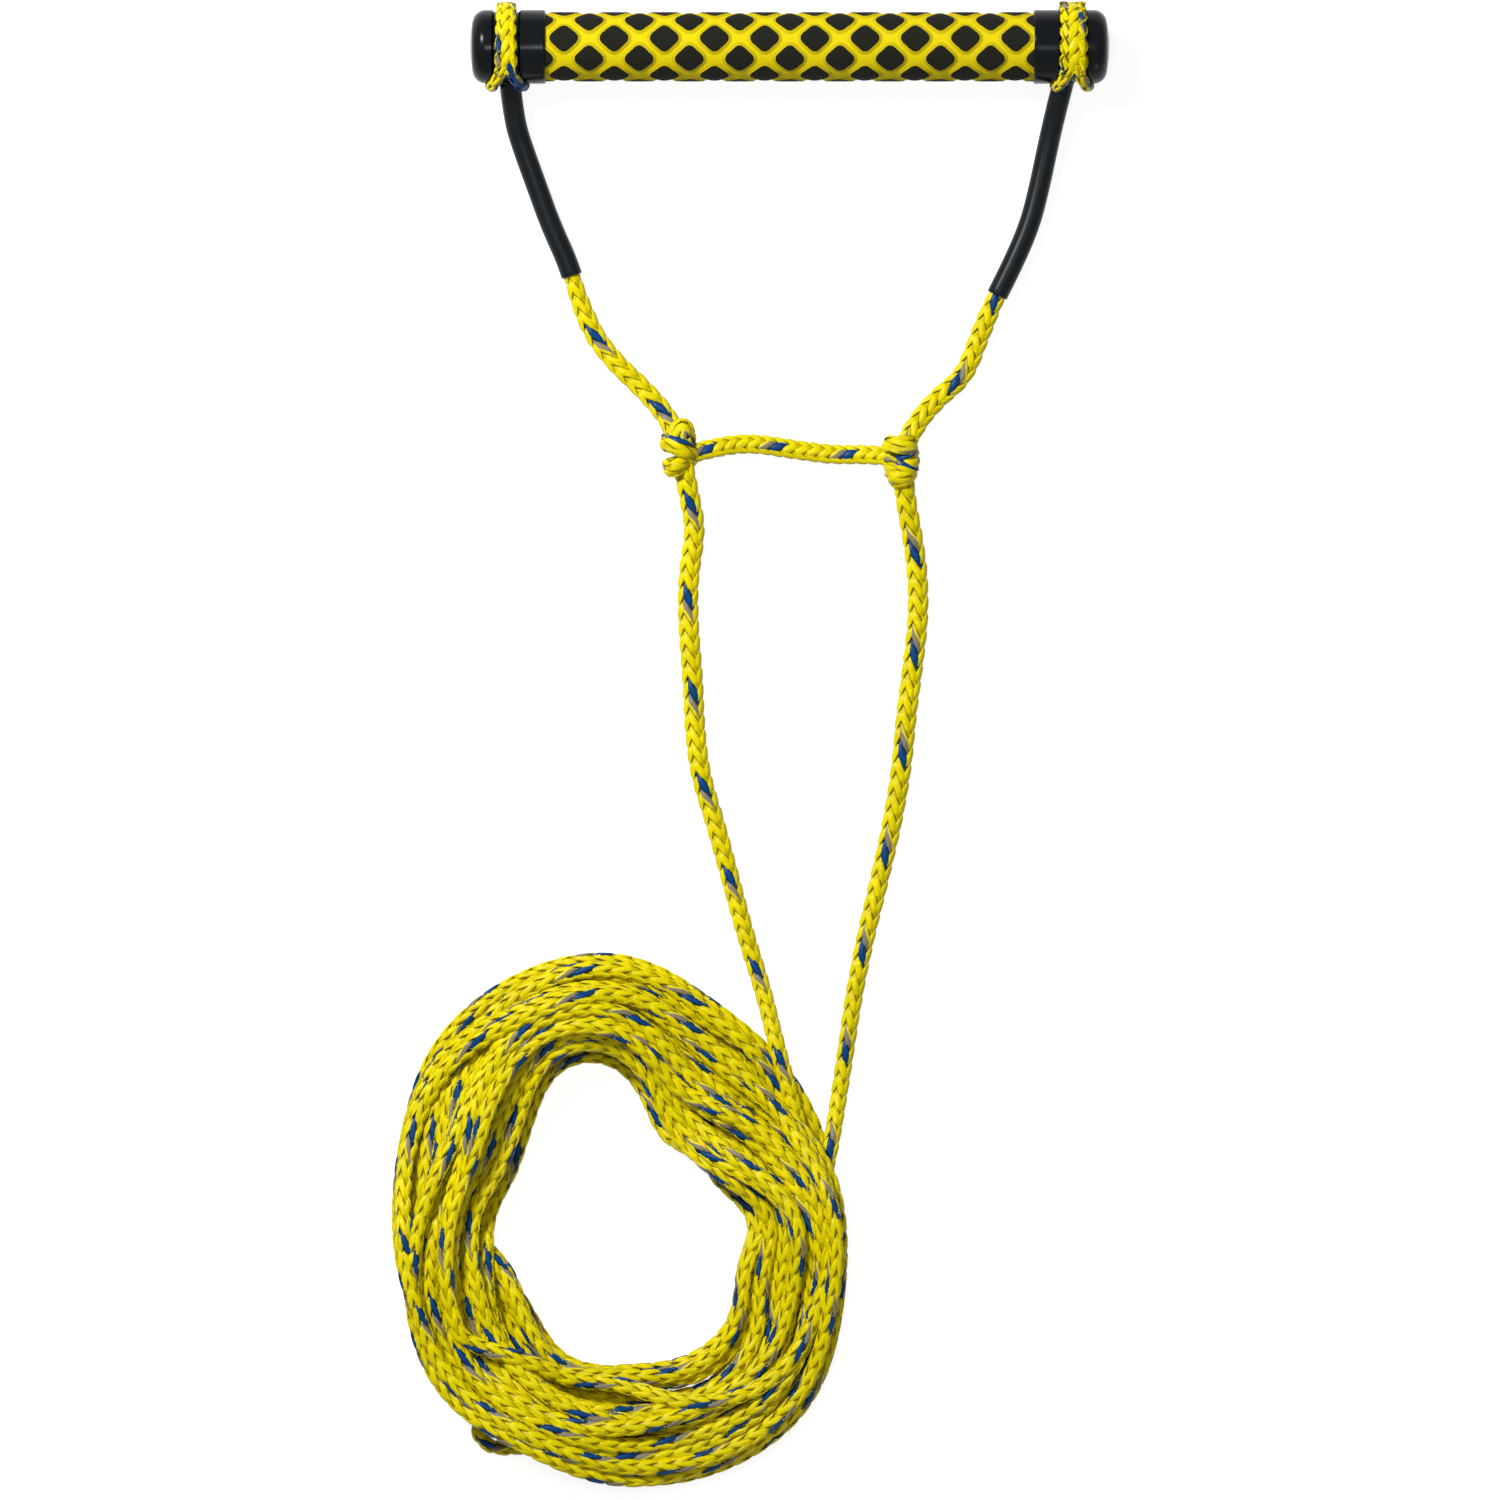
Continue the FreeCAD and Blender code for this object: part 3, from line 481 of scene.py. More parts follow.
def foam_material(name, colour, painted_wall_shade, roughness):
    """EVA foam, moulded in a hot press: matt, with a fine closed skin of 0.3 mm cells.

    An attribute is 1 on the steep walls and 0 on the tops. As far as it goes, a darker wall colour is mixed
    in: a painted shade on the walls and at the black tops' edges.
    """
    made, tree, shader = material(name, {"Roughness": roughness, "IOR": 1.45, "Specular IOR Level": 0.16})
    place = add(tree, "ShaderNodeTexCoord").outputs["Object"]
    cells = add(tree, NOISE, place, {"Scale": 1800.0, "Detail": 2.0})
    clouds = add(tree, NOISE, place, {"Scale": 60.0, "Detail": 2.0})
    painted_shade_mask = add(tree, "ShaderNodeAttribute", attribute_name="painted_wall_shade")
    mix = add(tree, MATH, clouds, 0.16, -0.03, operation="MULTIPLY_ADD")
    # painted shade: the darker wall colour is mixed in on the walls and at the black edges
    mix = add(tree, MATH, painted_shade_mask.outputs["Fac"], 0.85, mix, operation="MULTIPLY_ADD")
    mix = add(tree, MATH, mix, 0.0, operation="MAXIMUM", use_clamp=True)
    skin_and_painted_shade = {"Factor": mix, "A": (*colour, 1.0), "B": (*painted_wall_shade, 1.0)}
    colours = add(tree, "ShaderNodeMix", skin_and_painted_shade, data_type="RGBA")
    bump = add(tree, "ShaderNodeBump", {"Strength": 0.35, "Distance": 0.00012, "Height": cells})
    wire(tree, shader, {"Base Color": colours.outputs["Result"], "Normal": bump})
    return made


def cap_material():
    """Plasticised PVC, dip moulded: smooth and glossy, with the slow waves of a thick dipped skin."""
    black = (*linear("#060A0E"), 1.0)
    settings = {"Base Color": black, "IOR": 1.53, "Specular IOR Level": 0.09}
    made, tree, shader = material("dipped_black_pvc", settings)
    place = add(tree, "ShaderNodeTexCoord").outputs["Object"]
    waves = add(tree, NOISE, place, {"Scale": 70.0, "Detail": 0.0})
    scuffs = add(tree, NOISE, place, {"Scale": 420.0, "Detail": 4.0})
    wear = {"From Min": 0.35, "From Max": 0.75, "To Min": 0.16, "To Max": 0.26}
    rough = add(tree, MAP_RANGE, scuffs, wear)
    bump = add(tree, "ShaderNodeBump", {"Strength": 0.55, "Distance": 0.0006, "Height": waves})
    wire(tree, shader, {"Roughness": rough, "Normal": bump})
    return made


def hose_material():
    """Flexible PVC, extruded: a soft gloss with a dusty bloom."""
    settings = {"Roughness": 0.34, "IOR": 1.53, "Specular IOR Level": 0.10}
    made, tree, shader = material("extruded_black_pvc", settings)
    place = add(tree, "ShaderNodeTexCoord").outputs["Object"]
    bloom = add(tree, NOISE, place, {"Scale": 260.0, "Detail": 4.0})
    tones = {"Factor": bloom, "A": (*linear("#060A0E"), 1.0), "B": (*linear("#10161A"), 1.0)}
    colours = add(tree, "ShaderNodeMix", tones, data_type="RGBA")
    bump = add(tree, "ShaderNodeBump", {"Strength": 0.25, "Distance": 0.0002, "Height": bloom})
    wire(tree, shader, {"Base Color": colours.outputs["Result"], "Normal": bump})
    return made


def tube_material():
    """Drawn aluminium tube: fine lines run along it."""
    bare = (*linear("#B9BBBD"), 1.0)
    settings = {"Base Color": bare, "Roughness": 0.35, "IOR": 1.5, "Metallic": 1.0}
    made, tree, shader = material("drawn_aluminium", settings)
    place = add(tree, "ShaderNodeTexCoord").outputs["Object"]
    drawn = add(tree, "ShaderNodeMapping", place, {"Scale": (4.0, 900.0, 900.0)})
    lines = add(tree, NOISE, drawn, {"Scale": 1.0, "Detail": 3.0})
    bump = add(tree, "ShaderNodeBump", {"Strength": 0.2, "Distance": 0.00005, "Height": lines})
    wire(tree, shader, {"Normal": bump})
    return made


def plug_material():
    """Closed-cell polyethylene plug, cut from rod: dull, with small open cells."""
    settings = {"Base Color": (*linear("#3A3A3A"), 1.0), "Roughness": 0.9, "IOR": 1.5}
    made, tree, shader = material("cut_polyethylene_foam", settings)
    place = add(tree, "ShaderNodeTexCoord").outputs["Object"]
    cells = add(tree, "ShaderNodeTexVoronoi", place, {"Scale": 1400.0})
    bump = add(tree, "ShaderNodeBump", {"Strength": 0.5, "Distance": 0.0002, "Height": cells})
    wire(tree, shader, {"Normal": bump})
    return made


# --- lines of rope -----------------------------------------------


def smooth_line(points, resolution=6):
    """The points along the NURBS line of a cord's route."""
    curve = bpy.data.curves.new("route", "CURVE")
    curve.dimensions = "3D"
    curve.resolution_u = resolution
    spline = curve.splines.new("NURBS")
    spline.points.add(len(points) - 1)
    for point, place in zip(spline.points, points):
        point.co = (*place, 1.0)
    spline.order_u = 3
    spline.use_endpoint_u = True
    route = show("route", curve)
    mesh = as_mesh(route)
    line = np.array([vertex.co for vertex in mesh.vertices])
    bpy.data.objects.remove(route)
    bpy.data.curves.remove(curve)
    bpy.data.meshes.remove(mesh)
    return line


def line_length(line):
    return float(np.linalg.norm(np.diff(line, axis=0), axis=1).sum())


def travelled(line):
    """The distance along a line to each of its points."""
    return np.concatenate([[0.0], np.cumsum(np.linalg.norm(np.diff(line, axis=0), axis=1))])


def give(mesh, title, values):
    """Gives each of a mesh's points a number or a vector."""
    values = np.asarray(values, np.float32)
    kind, field = ("FLOAT", "value") if values.ndim == 1 else ("FLOAT_VECTOR", "vector")
    mesh.attributes.new(title, kind, "POINT").data.foreach_set(field, values.ravel())


def weave(
    name, line, half_width, half_height, lay, step, outward=None, start_turn=0.0, roll=0.0, roll_rate=0.0,
    corners=3, second_marker_place=2, thickness=None, main="yarn_main",
):
    """A braided rope along a line, as one mesh. Widths are one number or one for each point."""
    rope = bpy.context.scene.tow_rope
    count = len(line)
    half_width = np.broadcast_to(np.asarray(half_width, float), count)
    mesh = bpy.data.meshes.new(f"{name}_line")
    mesh.from_pydata(line.tolist(), [(at, at + 1) for at in range(count - 1)], [])
    give(mesh, "half_width", half_width)
    give(mesh, "half_height", np.full(count, half_height))
    give(mesh, "outward", np.tile(UP, (count, 1)) if outward is None else outward)
    thickness = thickness or rope.yarn_thickness
    # Neighbouring yarns of one direction lie a sixth of the lay apart, measured along the rope.
    slope = math.tau * float(half_width.mean() - thickness) / lay
    yarn_width = rope.yarn_fill * lay / (YARNS // 2) * math.sin(math.atan(slope))
    mirrored = "_mirrored" if second_marker_place > YARNS // 2 else ""
    tree = bpy.data.node_groups.get("Braided rope") or braid_tree()
    values = {
        "Lay": lay, "Step": step, "Start Turn": start_turn, "Roll": roll, "Roll Rate": roll_rate,
        "Yarn Width": yarn_width, "Yarn Thickness": thickness, "Weave": rope.weave,
        "Profile Corners": corners, "Second Marker Place": second_marker_place,
        "Main Yarn": finish(main), "First Marker": finish("yarn_first_marker"),
        "Second Marker": finish("yarn_second_marker" + mirrored),
    }
    piece = bake(name, mesh, tree, values)
    return piece


def declare(piece, replaced=()):
    """Rides a rope on the line's body, and hides the parts that it stands for."""
    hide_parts(*replaced)
    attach(piece, LINE)


# --- the coil ----------------------------------------------------

SAMPLES = 96  # points in a turn of the coil
START = math.radians(215)  # where the line begins, under the upper bundle
FLOOR_GAP = 0.0004
SIDE_BY_SIDE = 0.82  # share of its width by which the rope lies beside its neighbour
OWN_STRETCH = 4  # points along the rope that don't lie on each other
SAG = 0.0002  # how far the rope sags between two points
CORNER_EASE = 4  # points over which the rope rounds a corner of the coil
ROLL_RATE = 0.35  # turns in a metre by which the laid rope has rolled over
FIRST_ROLL = 0.15  # turns by which it has rolled over where it begins
SWEEP = 0.85  # how far the rope moves across its bundle and back, as a share of the bundle's spread
SWAY = 0.45  # how far it sways besides
SWAYS = ((0.31, 0.30), (0.83, 0.28), (1.57, 0.26), (2.71, 0.20), (4.3, 0.10))  # rate by turn, and share
SETTLING = 160  # times that a dropped stretch of rope is eased
APART = 1e5  # between the places of points on different ropes
# Where the legs go over the coil's outer turns and in under the upper bundle.
TAIL_ROUTES = {
    "left": [
        (-0.0059, -0.4788), (0.0016, -0.5060), (0.0079, -0.5252), (0.0098, -0.5450), (0.0070, -0.5650),
    ],
    "right": [(0.0202, -0.5232), (0.0172, -0.5382), (0.0140, -0.5530), (0.0095, -0.5700)],
}


def around(values, angle):
    """Values given at equal steps round a circle, read smoothly at any angle."""
    values = np.asarray(values, float)
    place = np.asarray(angle, float) / math.tau * len(values)
    at = np.floor(place).astype(int)
    part = place - at
    before, here, after, beyond = [values[(at + step) % len(values)] for step in (-1, 0, 1, 2)]
    return here + 0.5 * part * (
        after - before + part * (
            2 * before - 5 * here + 4 * after - beyond + part * (3 * (here - after) + beyond - before)
        )
    )


def wander(turned, seed):
    """A slow uneven sway between about -1 and 1, for a number of turns. Each seed sways its own way."""
    sway = np.zeros_like(turned)
    for number, (rate, share) in enumerate(SWAYS):
        sway += share * np.sin(math.tau * (rate * turned + seed * 0.37 * (number + 1)))
    return sway


def to_and_fro(turned, period):
    """Runs evenly from -1 to 1 and back again."""
    part = (turned / period) % 2.0
    return np.where(part < 1.0, 2 * part - 1, 3 - 2 * part)


def coil_turns(start, turns, bundle, spread, seed, sweep):
    """The flat course of one bundle's turns, wound clockwise from an angle.

    Turn by turn the rope moves across its bundle and back, over sweep turns each way, and sways.
    """
    rope = bpy.context.scene.tow_rope
    turned = np.arange(0, int(turns * SAMPLES) + 1) / SAMPLES
    angle = start - math.tau * turned
    across = SWEEP * to_and_fro(turned + 0.5 * sweep, sweep) + SWAY * wander(turned, seed)
    share = around(bundle, angle) + around(spread, angle) * across
    nearest, farthest = np.transpose(COIL_REACH)
    near = around(nearest, angle) + rope.coil_half_width
    far = around(farthest, angle) - rope.coil_half_width
    radius = near + np.clip(share, 0.0, 1.0) * (far - near)
    ease = np.hanning(2 * CORNER_EASE + 1)
    radius = np.convolve(np.pad(radius, CORNER_EASE, mode="edge"), ease / ease.sum(), "valid")
    return np.stack(
        [COIL_CENTRE[0] + radius * np.cos(angle), COIL_CENTRE[1] + radius * np.sin(angle)], axis=1
    )


def drop(course, places, laid, before):
    """The heights of a length of rope dropped on what is laid, as if pulled down lightly like a string.

    course is its flat course and places its points' places along the whole rope. laid holds x, y, z and
    the place of each point laid so far, and before is the height that the rope comes from, or None.
    """
    rope = bpy.context.scene.tow_rope
    held = np.full(len(course), rope.coil_half_height + FLOOR_GAP)
    if len(laid):
        side = 2 * rope.coil_half_width * SIDE_BY_SIDE
        apart = np.hypot(course[:, None, 0] - laid[None, :, 0], course[:, None, 1] - laid[None, :, 1])
        lift = laid[None, :, 2] + rope.layer_height * np.sqrt(np.clip(1 - (apart / side) ** 2, 0, None))
        same_stretch = np.abs(places[:, None] - laid[None, :, 3]) < OWN_STRETCH
        lift = np.where((apart < side) & ~same_stretch, lift, 0.0)
        held = np.maximum(held, lift.max(axis=1))
    height = held.copy()
    for _ in range(SETTLING):
        padded = np.concatenate([[height[0] if before is None else before], height, [height[-1]]])
        height = np.maximum(held, (padded[:-2] + padded[2:]) / 2 - SAG)
    return height


def lay_rope(course, places, laid):
    """Lays a rope turn by turn. Returns its heights, and all that is laid by then."""
    heights = np.zeros(0)
    for begin in range(0, len(course), SAMPLES):
        part, here = course[begin : begin + SAMPLES], places[begin : begin + SAMPLES]
        height = drop(part, here, laid, heights[-1] if begin else None)
        heights = np.append(heights, height)
        fine = np.linspace(0, len(part) - 1, 3 * len(part) - 2)
        columns = [np.interp(fine, np.arange(len(part)), column) for column in (*part.T, height, here)]
        laid = np.concatenate([laid, np.stack(columns, axis=1)])
    return heights, laid


def led_to(course, target, count):
    """The course with its last count points drawn over smoothly to end on target."""
    ramp = np.linspace(0, 1, count) ** 2 * (3 - 2 * np.linspace(0, 1, count))
    moved = course.copy()
    moved[-count:] += ramp[:, None] * (np.asarray(target) - course[-1])
    return moved


@functools.cache
def plan_coil():
    """The main line as rows of x, y and z, and the same of the two legs' tails that go in under it.

    The line starts hidden on the left, lies in a few turns over both bundles, fills the upper bundle, then
    the lower one, and ends on the floor at the tow eye. It is laid the other way round, from its end, and
    the legs' tails are laid between the two bundles.
    """
    rope = bpy.context.scene.tow_rope
    parts, start = [], START
    for turns, bundle, spread, seed, sweep in (
        (rope.top_turns, TOP_STRANDS, TOP_SPREAD, 0.3, 2.4),
        (rope.stray_turns, STRAY_STRAND, TOP_SPREAD, 0.6, 2.0),
        (rope.upper_turns, UPPER_BUNDLE, BUNDLE_SPREAD, 1.2, 4.4),
        (rope.lower_turns, LOWER_BUNDLE, BUNDLE_SPREAD, 4.5, 5.2),
    ):
        parts.append(coil_turns(start, turns, bundle, spread, seed, sweep))
        start -= math.tau * (int(turns * SAMPLES) + 1) / SAMPLES
    # Each part's last points are led over to where the next one starts, and the last part to the tow eye.
    target = TOW_EYE_ROUTE[0][:2]
    for at, count in ((3, SAMPLES // 3), (2, SAMPLES // 2), (1, SAMPLES // 10), (0, SAMPLES // 3)):
        parts[at] = led_to(parts[at], target, count)
        target = 2 * parts[at][0] - parts[at][1]
    top, upper, lower = np.concatenate(parts[:2]), *parts[2:]
    tails = {side: smooth_line([(*point, 0.0) for point in TAIL_ROUTES[side]], 3)[:, :2] for side in SIDES}
    tow_eye = smooth_line(TOW_EYE_ROUTE, 4)[:, :2]
    hidden = SAMPLES // 14  # the rope's first points, which lie under the upper bundle
    courses = {
        "tow_eye": (tow_eye, 3 * APART + np.arange(len(tow_eye))),
        "lower": (lower[::-1], len(top) + len(upper) + np.arange(len(lower))[::-1]),
        "left": (tails["left"], APART + np.arange(len(tails["left"]))),
        "right": (tails["right"], 2 * APART + np.arange(len(tails["right"]))),
        "start": (top[:hidden], np.arange(hidden)),
        "upper": (upper[::-1], len(top) + np.arange(len(upper))[::-1]),
        "top": (top[hidden:][::-1], hidden + np.arange(len(top) - hidden)[::-1]),
    }
    laid = np.zeros((0, 4))
    rows = {}
    for name, (course, places) in courses.items():
        heights, laid = lay_rope(course, places, laid)
        rows[name] = np.column_stack([course, heights])
    line = np.concatenate([rows["start"], rows["top"][::-1], rows["upper"][::-1], rows["lower"][::-1]])
    for _ in range(3):  # rounds off the heights where one rope's course meets the next
        line[1:-1, 2] = (line[:-2, 2] + 2 * line[1:-1, 2] + line[2:, 2]) / 4
    return line, {side: rows[side] for side in SIDES}


def make_coil():
    """The main line as cords of about equal length, each going on where the one before it ends."""
    rope = bpy.context.scene.tow_rope
    line = plan_coil()[0]
    cuts = np.linspace(0, len(line) - 1, rope.coil_cords + 1).astype(int)
    start_turn, roll = 0.0, FIRST_ROLL
    for number, (first, last) in enumerate(zip(cuts, cuts[1:]), start=1):
        stretch = smooth_line(line[first : last + 1], 2)
        piece = weave(
            f"main_line_{number}", stretch, rope.coil_half_width, rope.coil_half_height, rope.coil_lay,
            rope.coil_step, start_turn=start_turn, roll=roll, roll_rate=ROLL_RATE, corners=4,
            thickness=rope.coil_yarn_thickness,
        )
        declare(piece, replaced=["main_line_coil"])
        start_turn += line_length(stretch) / rope.coil_lay
        roll += line_length(stretch) * ROLL_RATE


# --- knots, eyes and hoses ---------------------------------------

# The rope's way through each knot in millimetres from the knot's middle, with the bar beyond +Y.
KNOT_ROUTES = {
    "left": [
        (-1.0, 1.0, 1.0), (-0.6, 4.5, 4.2), (0.4, 8.4, 5.4), (2.6, 10.2, 5.0), (4.6, 8.0, 4.2),
        (6.2, 4.0, 1.5), (4.0, 1.0, -5.0), (-3.0, 2.5, -5.6), (-7.0, 4.6, -1.0), (-5.2, 4.0, 4.4),
        (-0.6, 1.0, 6.6), (4.4, -2.4, 4.6), (6.8, -5.0, -0.8), (2.5, -6.4, -5.6), (-4.0, -7.4, -5.0),
        (-7.2, -8.8, -0.4), (-5.4, -9.6, 4.2), (-1.2, -8.6, 3.8), (2.5, -6.0, 0.0),
    ],
    "right": [
        (-2.0, -3.0, 0.0), (1.6, -1.6, 4.6), (5.0, -1.8, 4.2), (6.8, 1.6, 0.4), (3.6, 5.6, -5.0),
        (-2.8, 7.0, -5.6), (-6.8, 7.2, -0.8), (-4.8, 7.0, 4.6), (0.0, 6.6, 6.8), (4.8, 6.2, 4.6),
        (6.8, 5.4, -0.8), (2.6, 3.0, -5.6), (-3.8, 0.4, -5.2), (-6.4, -2.0, -0.8), (-4.6, -3.4, 3.8),
        (0.0, -4.8, 5.4), (4.2, -6.2, 3.6), (5.8, -7.2, -0.8), (2.0, -8.0, -5.0), (-3.0, -8.8, -4.6),
        (-5.0, -9.4, 0.0), (-3.2, -9.6, 3.6), (0.8, -9.6, 4.4), (4.0, -8.8, 2.4), (2.0, -6.0, -3.0),
    ],
}
ROPE_LAYS = {  # for each stretch, its lay, and the turn of its yarns where it begins
    "upper_leg_left": (0.0470, 0.375),
    "upper_leg_right": (0.0440, 0.586),
    "lower_leg_left": (0.0455, 0.691),
    "lower_leg_right": (0.0485, 0.274),
    "cross_rope": (0.0346, 0.856),
    "tow_eye": (0.0440, 0.4),
}
KNOT_START_TURNS = {"left": 0.80, "right": 0.35}
# Half widths of the free rope at shares of its length, widest at the knots.
UPPER_LEG_WIDTHS = ((0, 0.0041), (0.50, 0.0041), (0.62, 0.0050), (1, 0.0052))
LOWER_LEG_WIDTHS = ((0, 0.0052), (0.35, 0.0052), (0.75, 0.0043), (1, 0.0039))
CROSS_ROPE_WIDTHS = ((0, 0.0049),)
TOW_EYE_WIDTHS = ((0, 0.0037),)
LEG_HALF_HEIGHT = 0.0037
LEG_ROLL = 1 / 6  # turns by which the free rope is rolled over
MARKER_PLACES = {"left": 10, "right": 2}  # of the second marker among the yarns
EYE_RADIUS = 0.0193  # of the middle of the rope round the bar
EYE_HALF_HEIGHT = 0.0023
BAND_ANGLES = np.radians(np.arange(133, -94, -2.0))  # of the undivided rope, over the top of the bar
EYE_HALF_WIDTHS = {"left": (0.0044, 0.0050, 0.0055), "right": (0.0058, 0.0061, 0.0064)}  # back, top, crotch
EYE_START_TURNS = {"left": 0.10, "right": 0.45}
PARTED = (math.radians(118), math.radians(282))  # where the rope is opened into two round the hose
PARTED_HALF_WIDTH = 0.0029
PARTED_LAY = 0.046
PARTED_YARN = 0.0008  # thickness of its yarns
PARTED_REACH = 0.0080  # how far each half is drawn to its side
HOSE_RADIUS = 0.0051
HOSE_BORE = 0.0044
HOSE_RIM = ((-0.0001, 0.0049), (0.0, 0.0047))  # its broken edge: place from the end, and radius
HOSE_CORNERS = 40
HOSE_TUCK = 0.0050  # how far the hose goes in between the eye's halves, up to the cap
HOSE_REACH = 0.0172  # how near the hose's end comes to the bar's axis


def make_knot(side):
    """A knot of the bridle: the rope wound tightly round itself where the cross rope meets a leg."""
    rope = bpy.context.scene.tow_rope
    lean = math.radians(KNOT_TURNS[side])
    points = []
    for x, y, z in KNOT_ROUTES[side]:
        turned_x = x * math.cos(lean) - y * math.sin(lean)
        turned_y = x * math.sin(lean) + y * math.cos(lean)
        points.append(KNOT_CENTRES[side] + Vector((turned_x, turned_y, z)) / 1000)
    line = smooth_line(points, 10)
    # The wraps face away from the knot's long middle, and a little upwards.
    outward = line - np.array(KNOT_CENTRES[side])
    outward[:, 1] *= 0.3
    outward[:, 2] += 0.001
    piece = weave(
        f"knot_wraps_{side}", line, rope.knot_half_width, rope.knot_half_height, rope.knot_lay,
        rope.bridle_step, outward=outward, start_turn=KNOT_START_TURNS[side], corners=5,
    )
    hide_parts(f"knot_{side}")
    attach(piece, LINE)
    return piece


def round_bar(x, radius, angle):
    """The point at a distance from the bar's axis and an angle round it."""
    return x, BAR_AXIS.y + radius * math.cos(angle), BAR_AXIS.z + radius * math.sin(angle)


def make_eye(side):
    """The rope's eye in the cap's seat, and its two halves parted round the hose like a splice."""
    rope = bpy.context.scene.tow_rope
    x = EYE_MIDDLE[side]
    middle = np.array((x, BAR_AXIS.y, BAR_AXIS.z))
    line = np.array([round_bar(x, EYE_RADIUS, angle) for angle in BAND_ANGLES])
    width = np.interp(BAND_ANGLES, [0.0, math.pi / 2, 2.3], EYE_HALF_WIDTHS[side])
    pieces = [
        weave(
            f"eye_band_{side}", line, width, EYE_HALF_HEIGHT, rope.lay, rope.bridle_step,
            outward=line - middle, start_turn=EYE_START_TURNS[side], corners=5,
        )
    ]
    angles = np.linspace(*PARTED, 84)
    apart = PARTED_REACH * np.sin(math.pi * (angles - PARTED[0]) / (PARTED[1] - PARTED[0]))
    for half, sign in (("outer", SIDE_SIGN[side]), ("inner", -SIDE_SIGN[side])):
        line = np.array([round_bar(x + sign * far, EYE_RADIUS, angle) for angle, far in zip(angles, apart)])
        main = "yarn_first_marker" if (side, half) == ("left", "inner") else "yarn_main"
        pieces.append(
            weave(
                f"eye_{half}_half_{side}", line, PARTED_HALF_WIDTH, EYE_HALF_HEIGHT, PARTED_LAY,
                rope.bridle_step, outward=line - middle, corners=4, thickness=PARTED_YARN, main=main,
            )
        )
    for piece in pieces:
        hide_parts(f"rope_eye_{side}")
        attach(piece, LINE)


HALF_MILLIMETRE = 0.0005


def point_along(line, place):
    """The point, and the way the line runs there, at a distance along it."""
    distances = travelled(line)
    here, ahead, behind = [
        np.array([np.interp(place + step, distances, column) for column in line.T])
        for step in (0.0, HALF_MILLIMETRE, -HALF_MILLIMETRE)
    ]
    way = ahead - behind
    return here, way / np.linalg.norm(way)


def ring_faces(rings, corners):
    """The faces between rings of points, each joined to the next and the last to the first."""
    faces = []
    for ring in range(rings):
        start, after = ring * corners, (ring + 1) % rings * corners
        for at in range(corners):
            beyond = (at + 1) % corners
            faces.append((start + at, start + beyond, after + beyond, after + at))
    return faces


def make_hose(side, line):
    """The chafe hose: a soft extruded tube over the leg, cut square with its edges just broken."""
    length = HOSE_LENGTHS[side]
    rings = [(place, HOSE_RADIUS) for place in np.linspace(-HOSE_TUCK, length - 0.0006, 44)]
    rings += [(length + back, radius) for back, radius in HOSE_RIM]
    rings += [(place, HOSE_BORE) for place in np.linspace(length - 0.0005, -HOSE_TUCK, 28)]
    way = line[1] - line[0]
    line = np.concatenate([[line[0] - way / np.linalg.norm(way) * 2 * HOSE_TUCK], line])
    points = []
    for place, radius in rings:
        here, way = point_along(line, place + 2 * HOSE_TUCK)
        side_way = np.cross(way, UP)
        side_way /= np.linalg.norm(side_way)
        top_way = np.cross(side_way, way)
        for angle in math.tau * np.arange(HOSE_CORNERS) / HOSE_CORNERS:
            point = here + radius * (math.cos(angle) * side_way + math.sin(angle) * top_way)
            from_axis = math.hypot(point[1] - BAR_AXIS.y, point[2] - BAR_AXIS.z)
            away = max(1.0, HOSE_REACH / from_axis)
            point[1] = BAR_AXIS.y + (point[1] - BAR_AXIS.y) * away
            point[2] = BAR_AXIS.z + (point[2] - BAR_AXIS.z) * away
            points.append(point)
    piece = solid(f"chafe_hose_{side}", points, ring_faces(len(rings), HOSE_CORNERS), "hose")
    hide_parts(f"hose_{side}")
    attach(piece, LINE)
    return piece


def make_bridle():
    """The free rope between the eyes and the coil, with its knots and hoses."""
    tails = plan_coil()[1]
    knots = [make_knot(side) for side in SIDES]
    for side in SIDES:
        stretch = smooth_line(UPPER_LEG_ROUTES[side], 12)
        hose = make_hose(side, stretch)
        weave_leg(f"upper_leg_{side}", stretch, UPPER_LEG_WIDTHS, side)
        tail = [tuple(point) for point in tails[side][:: len(tails[side]) // 6]]
        stretch = smooth_line(LOWER_LEG_ROUTES[side][:-1] + tail, 12)
        weave_leg(f"lower_leg_{side}", stretch, LOWER_LEG_WIDTHS, side, also=["main_line_coil"])
    weave_leg("cross_rope", smooth_line(CROSS_ROPE_ROUTE, 12), CROSS_ROPE_WIDTHS, "right")
    weave_leg("tow_eye", smooth_line(TOW_EYE_ROUTE, 12), TOW_EYE_WIDTHS, "left")


def weave_leg(node, line, half_widths, side, also=()):
    """One stretch of free rope that stands for a node. half_widths are given at shares of its length."""
    rope = bpy.context.scene.tow_rope
    lay, start_turn = ROPE_LAYS[node]
    distances = travelled(line)
    piece = weave(
        f"{node}_rope", line, np.interp(distances / distances[-1], *np.transpose(half_widths)),
        LEG_HALF_HEIGHT, lay, rope.bridle_step, start_turn=start_turn, roll=LEG_ROLL, corners=5,
        second_marker_place=MARKER_PLACES[side],
    )
    declare(piece, replaced=[node, *also])


# --- the bar -----------------------------------------------------

DIAMOND_COLUMNS = 12  # along the grip, the last of them cut off by its ends
BLACK_FACES = 4  # of the faces at each corner of a diamond, counted from its middle
FIRST_ROW = math.radians(10.4)  # turn of the first row of diamonds from the top of the bar


def solid(name, points, faces, *finishes, sharp=40.0):
    """A closed shell from its points and faces, shaded smooth up to the sharp angle."""
    mesh = bpy.data.meshes.new(name)
    mesh.from_pydata([tuple(point) for point in points], [], faces)
    shell = bmesh.new()
    shell.from_mesh(mesh)
    bmesh.ops.recalc_face_normals(shell, faces=shell.faces)
    shell.to_mesh(mesh)
    shell.free()
    mesh.shade_smooth()
    mesh.set_sharp_from_angle(angle=math.radians(sharp))
    for title in finishes:
        mesh.materials.append(finish(title))
    return show(name, mesh)


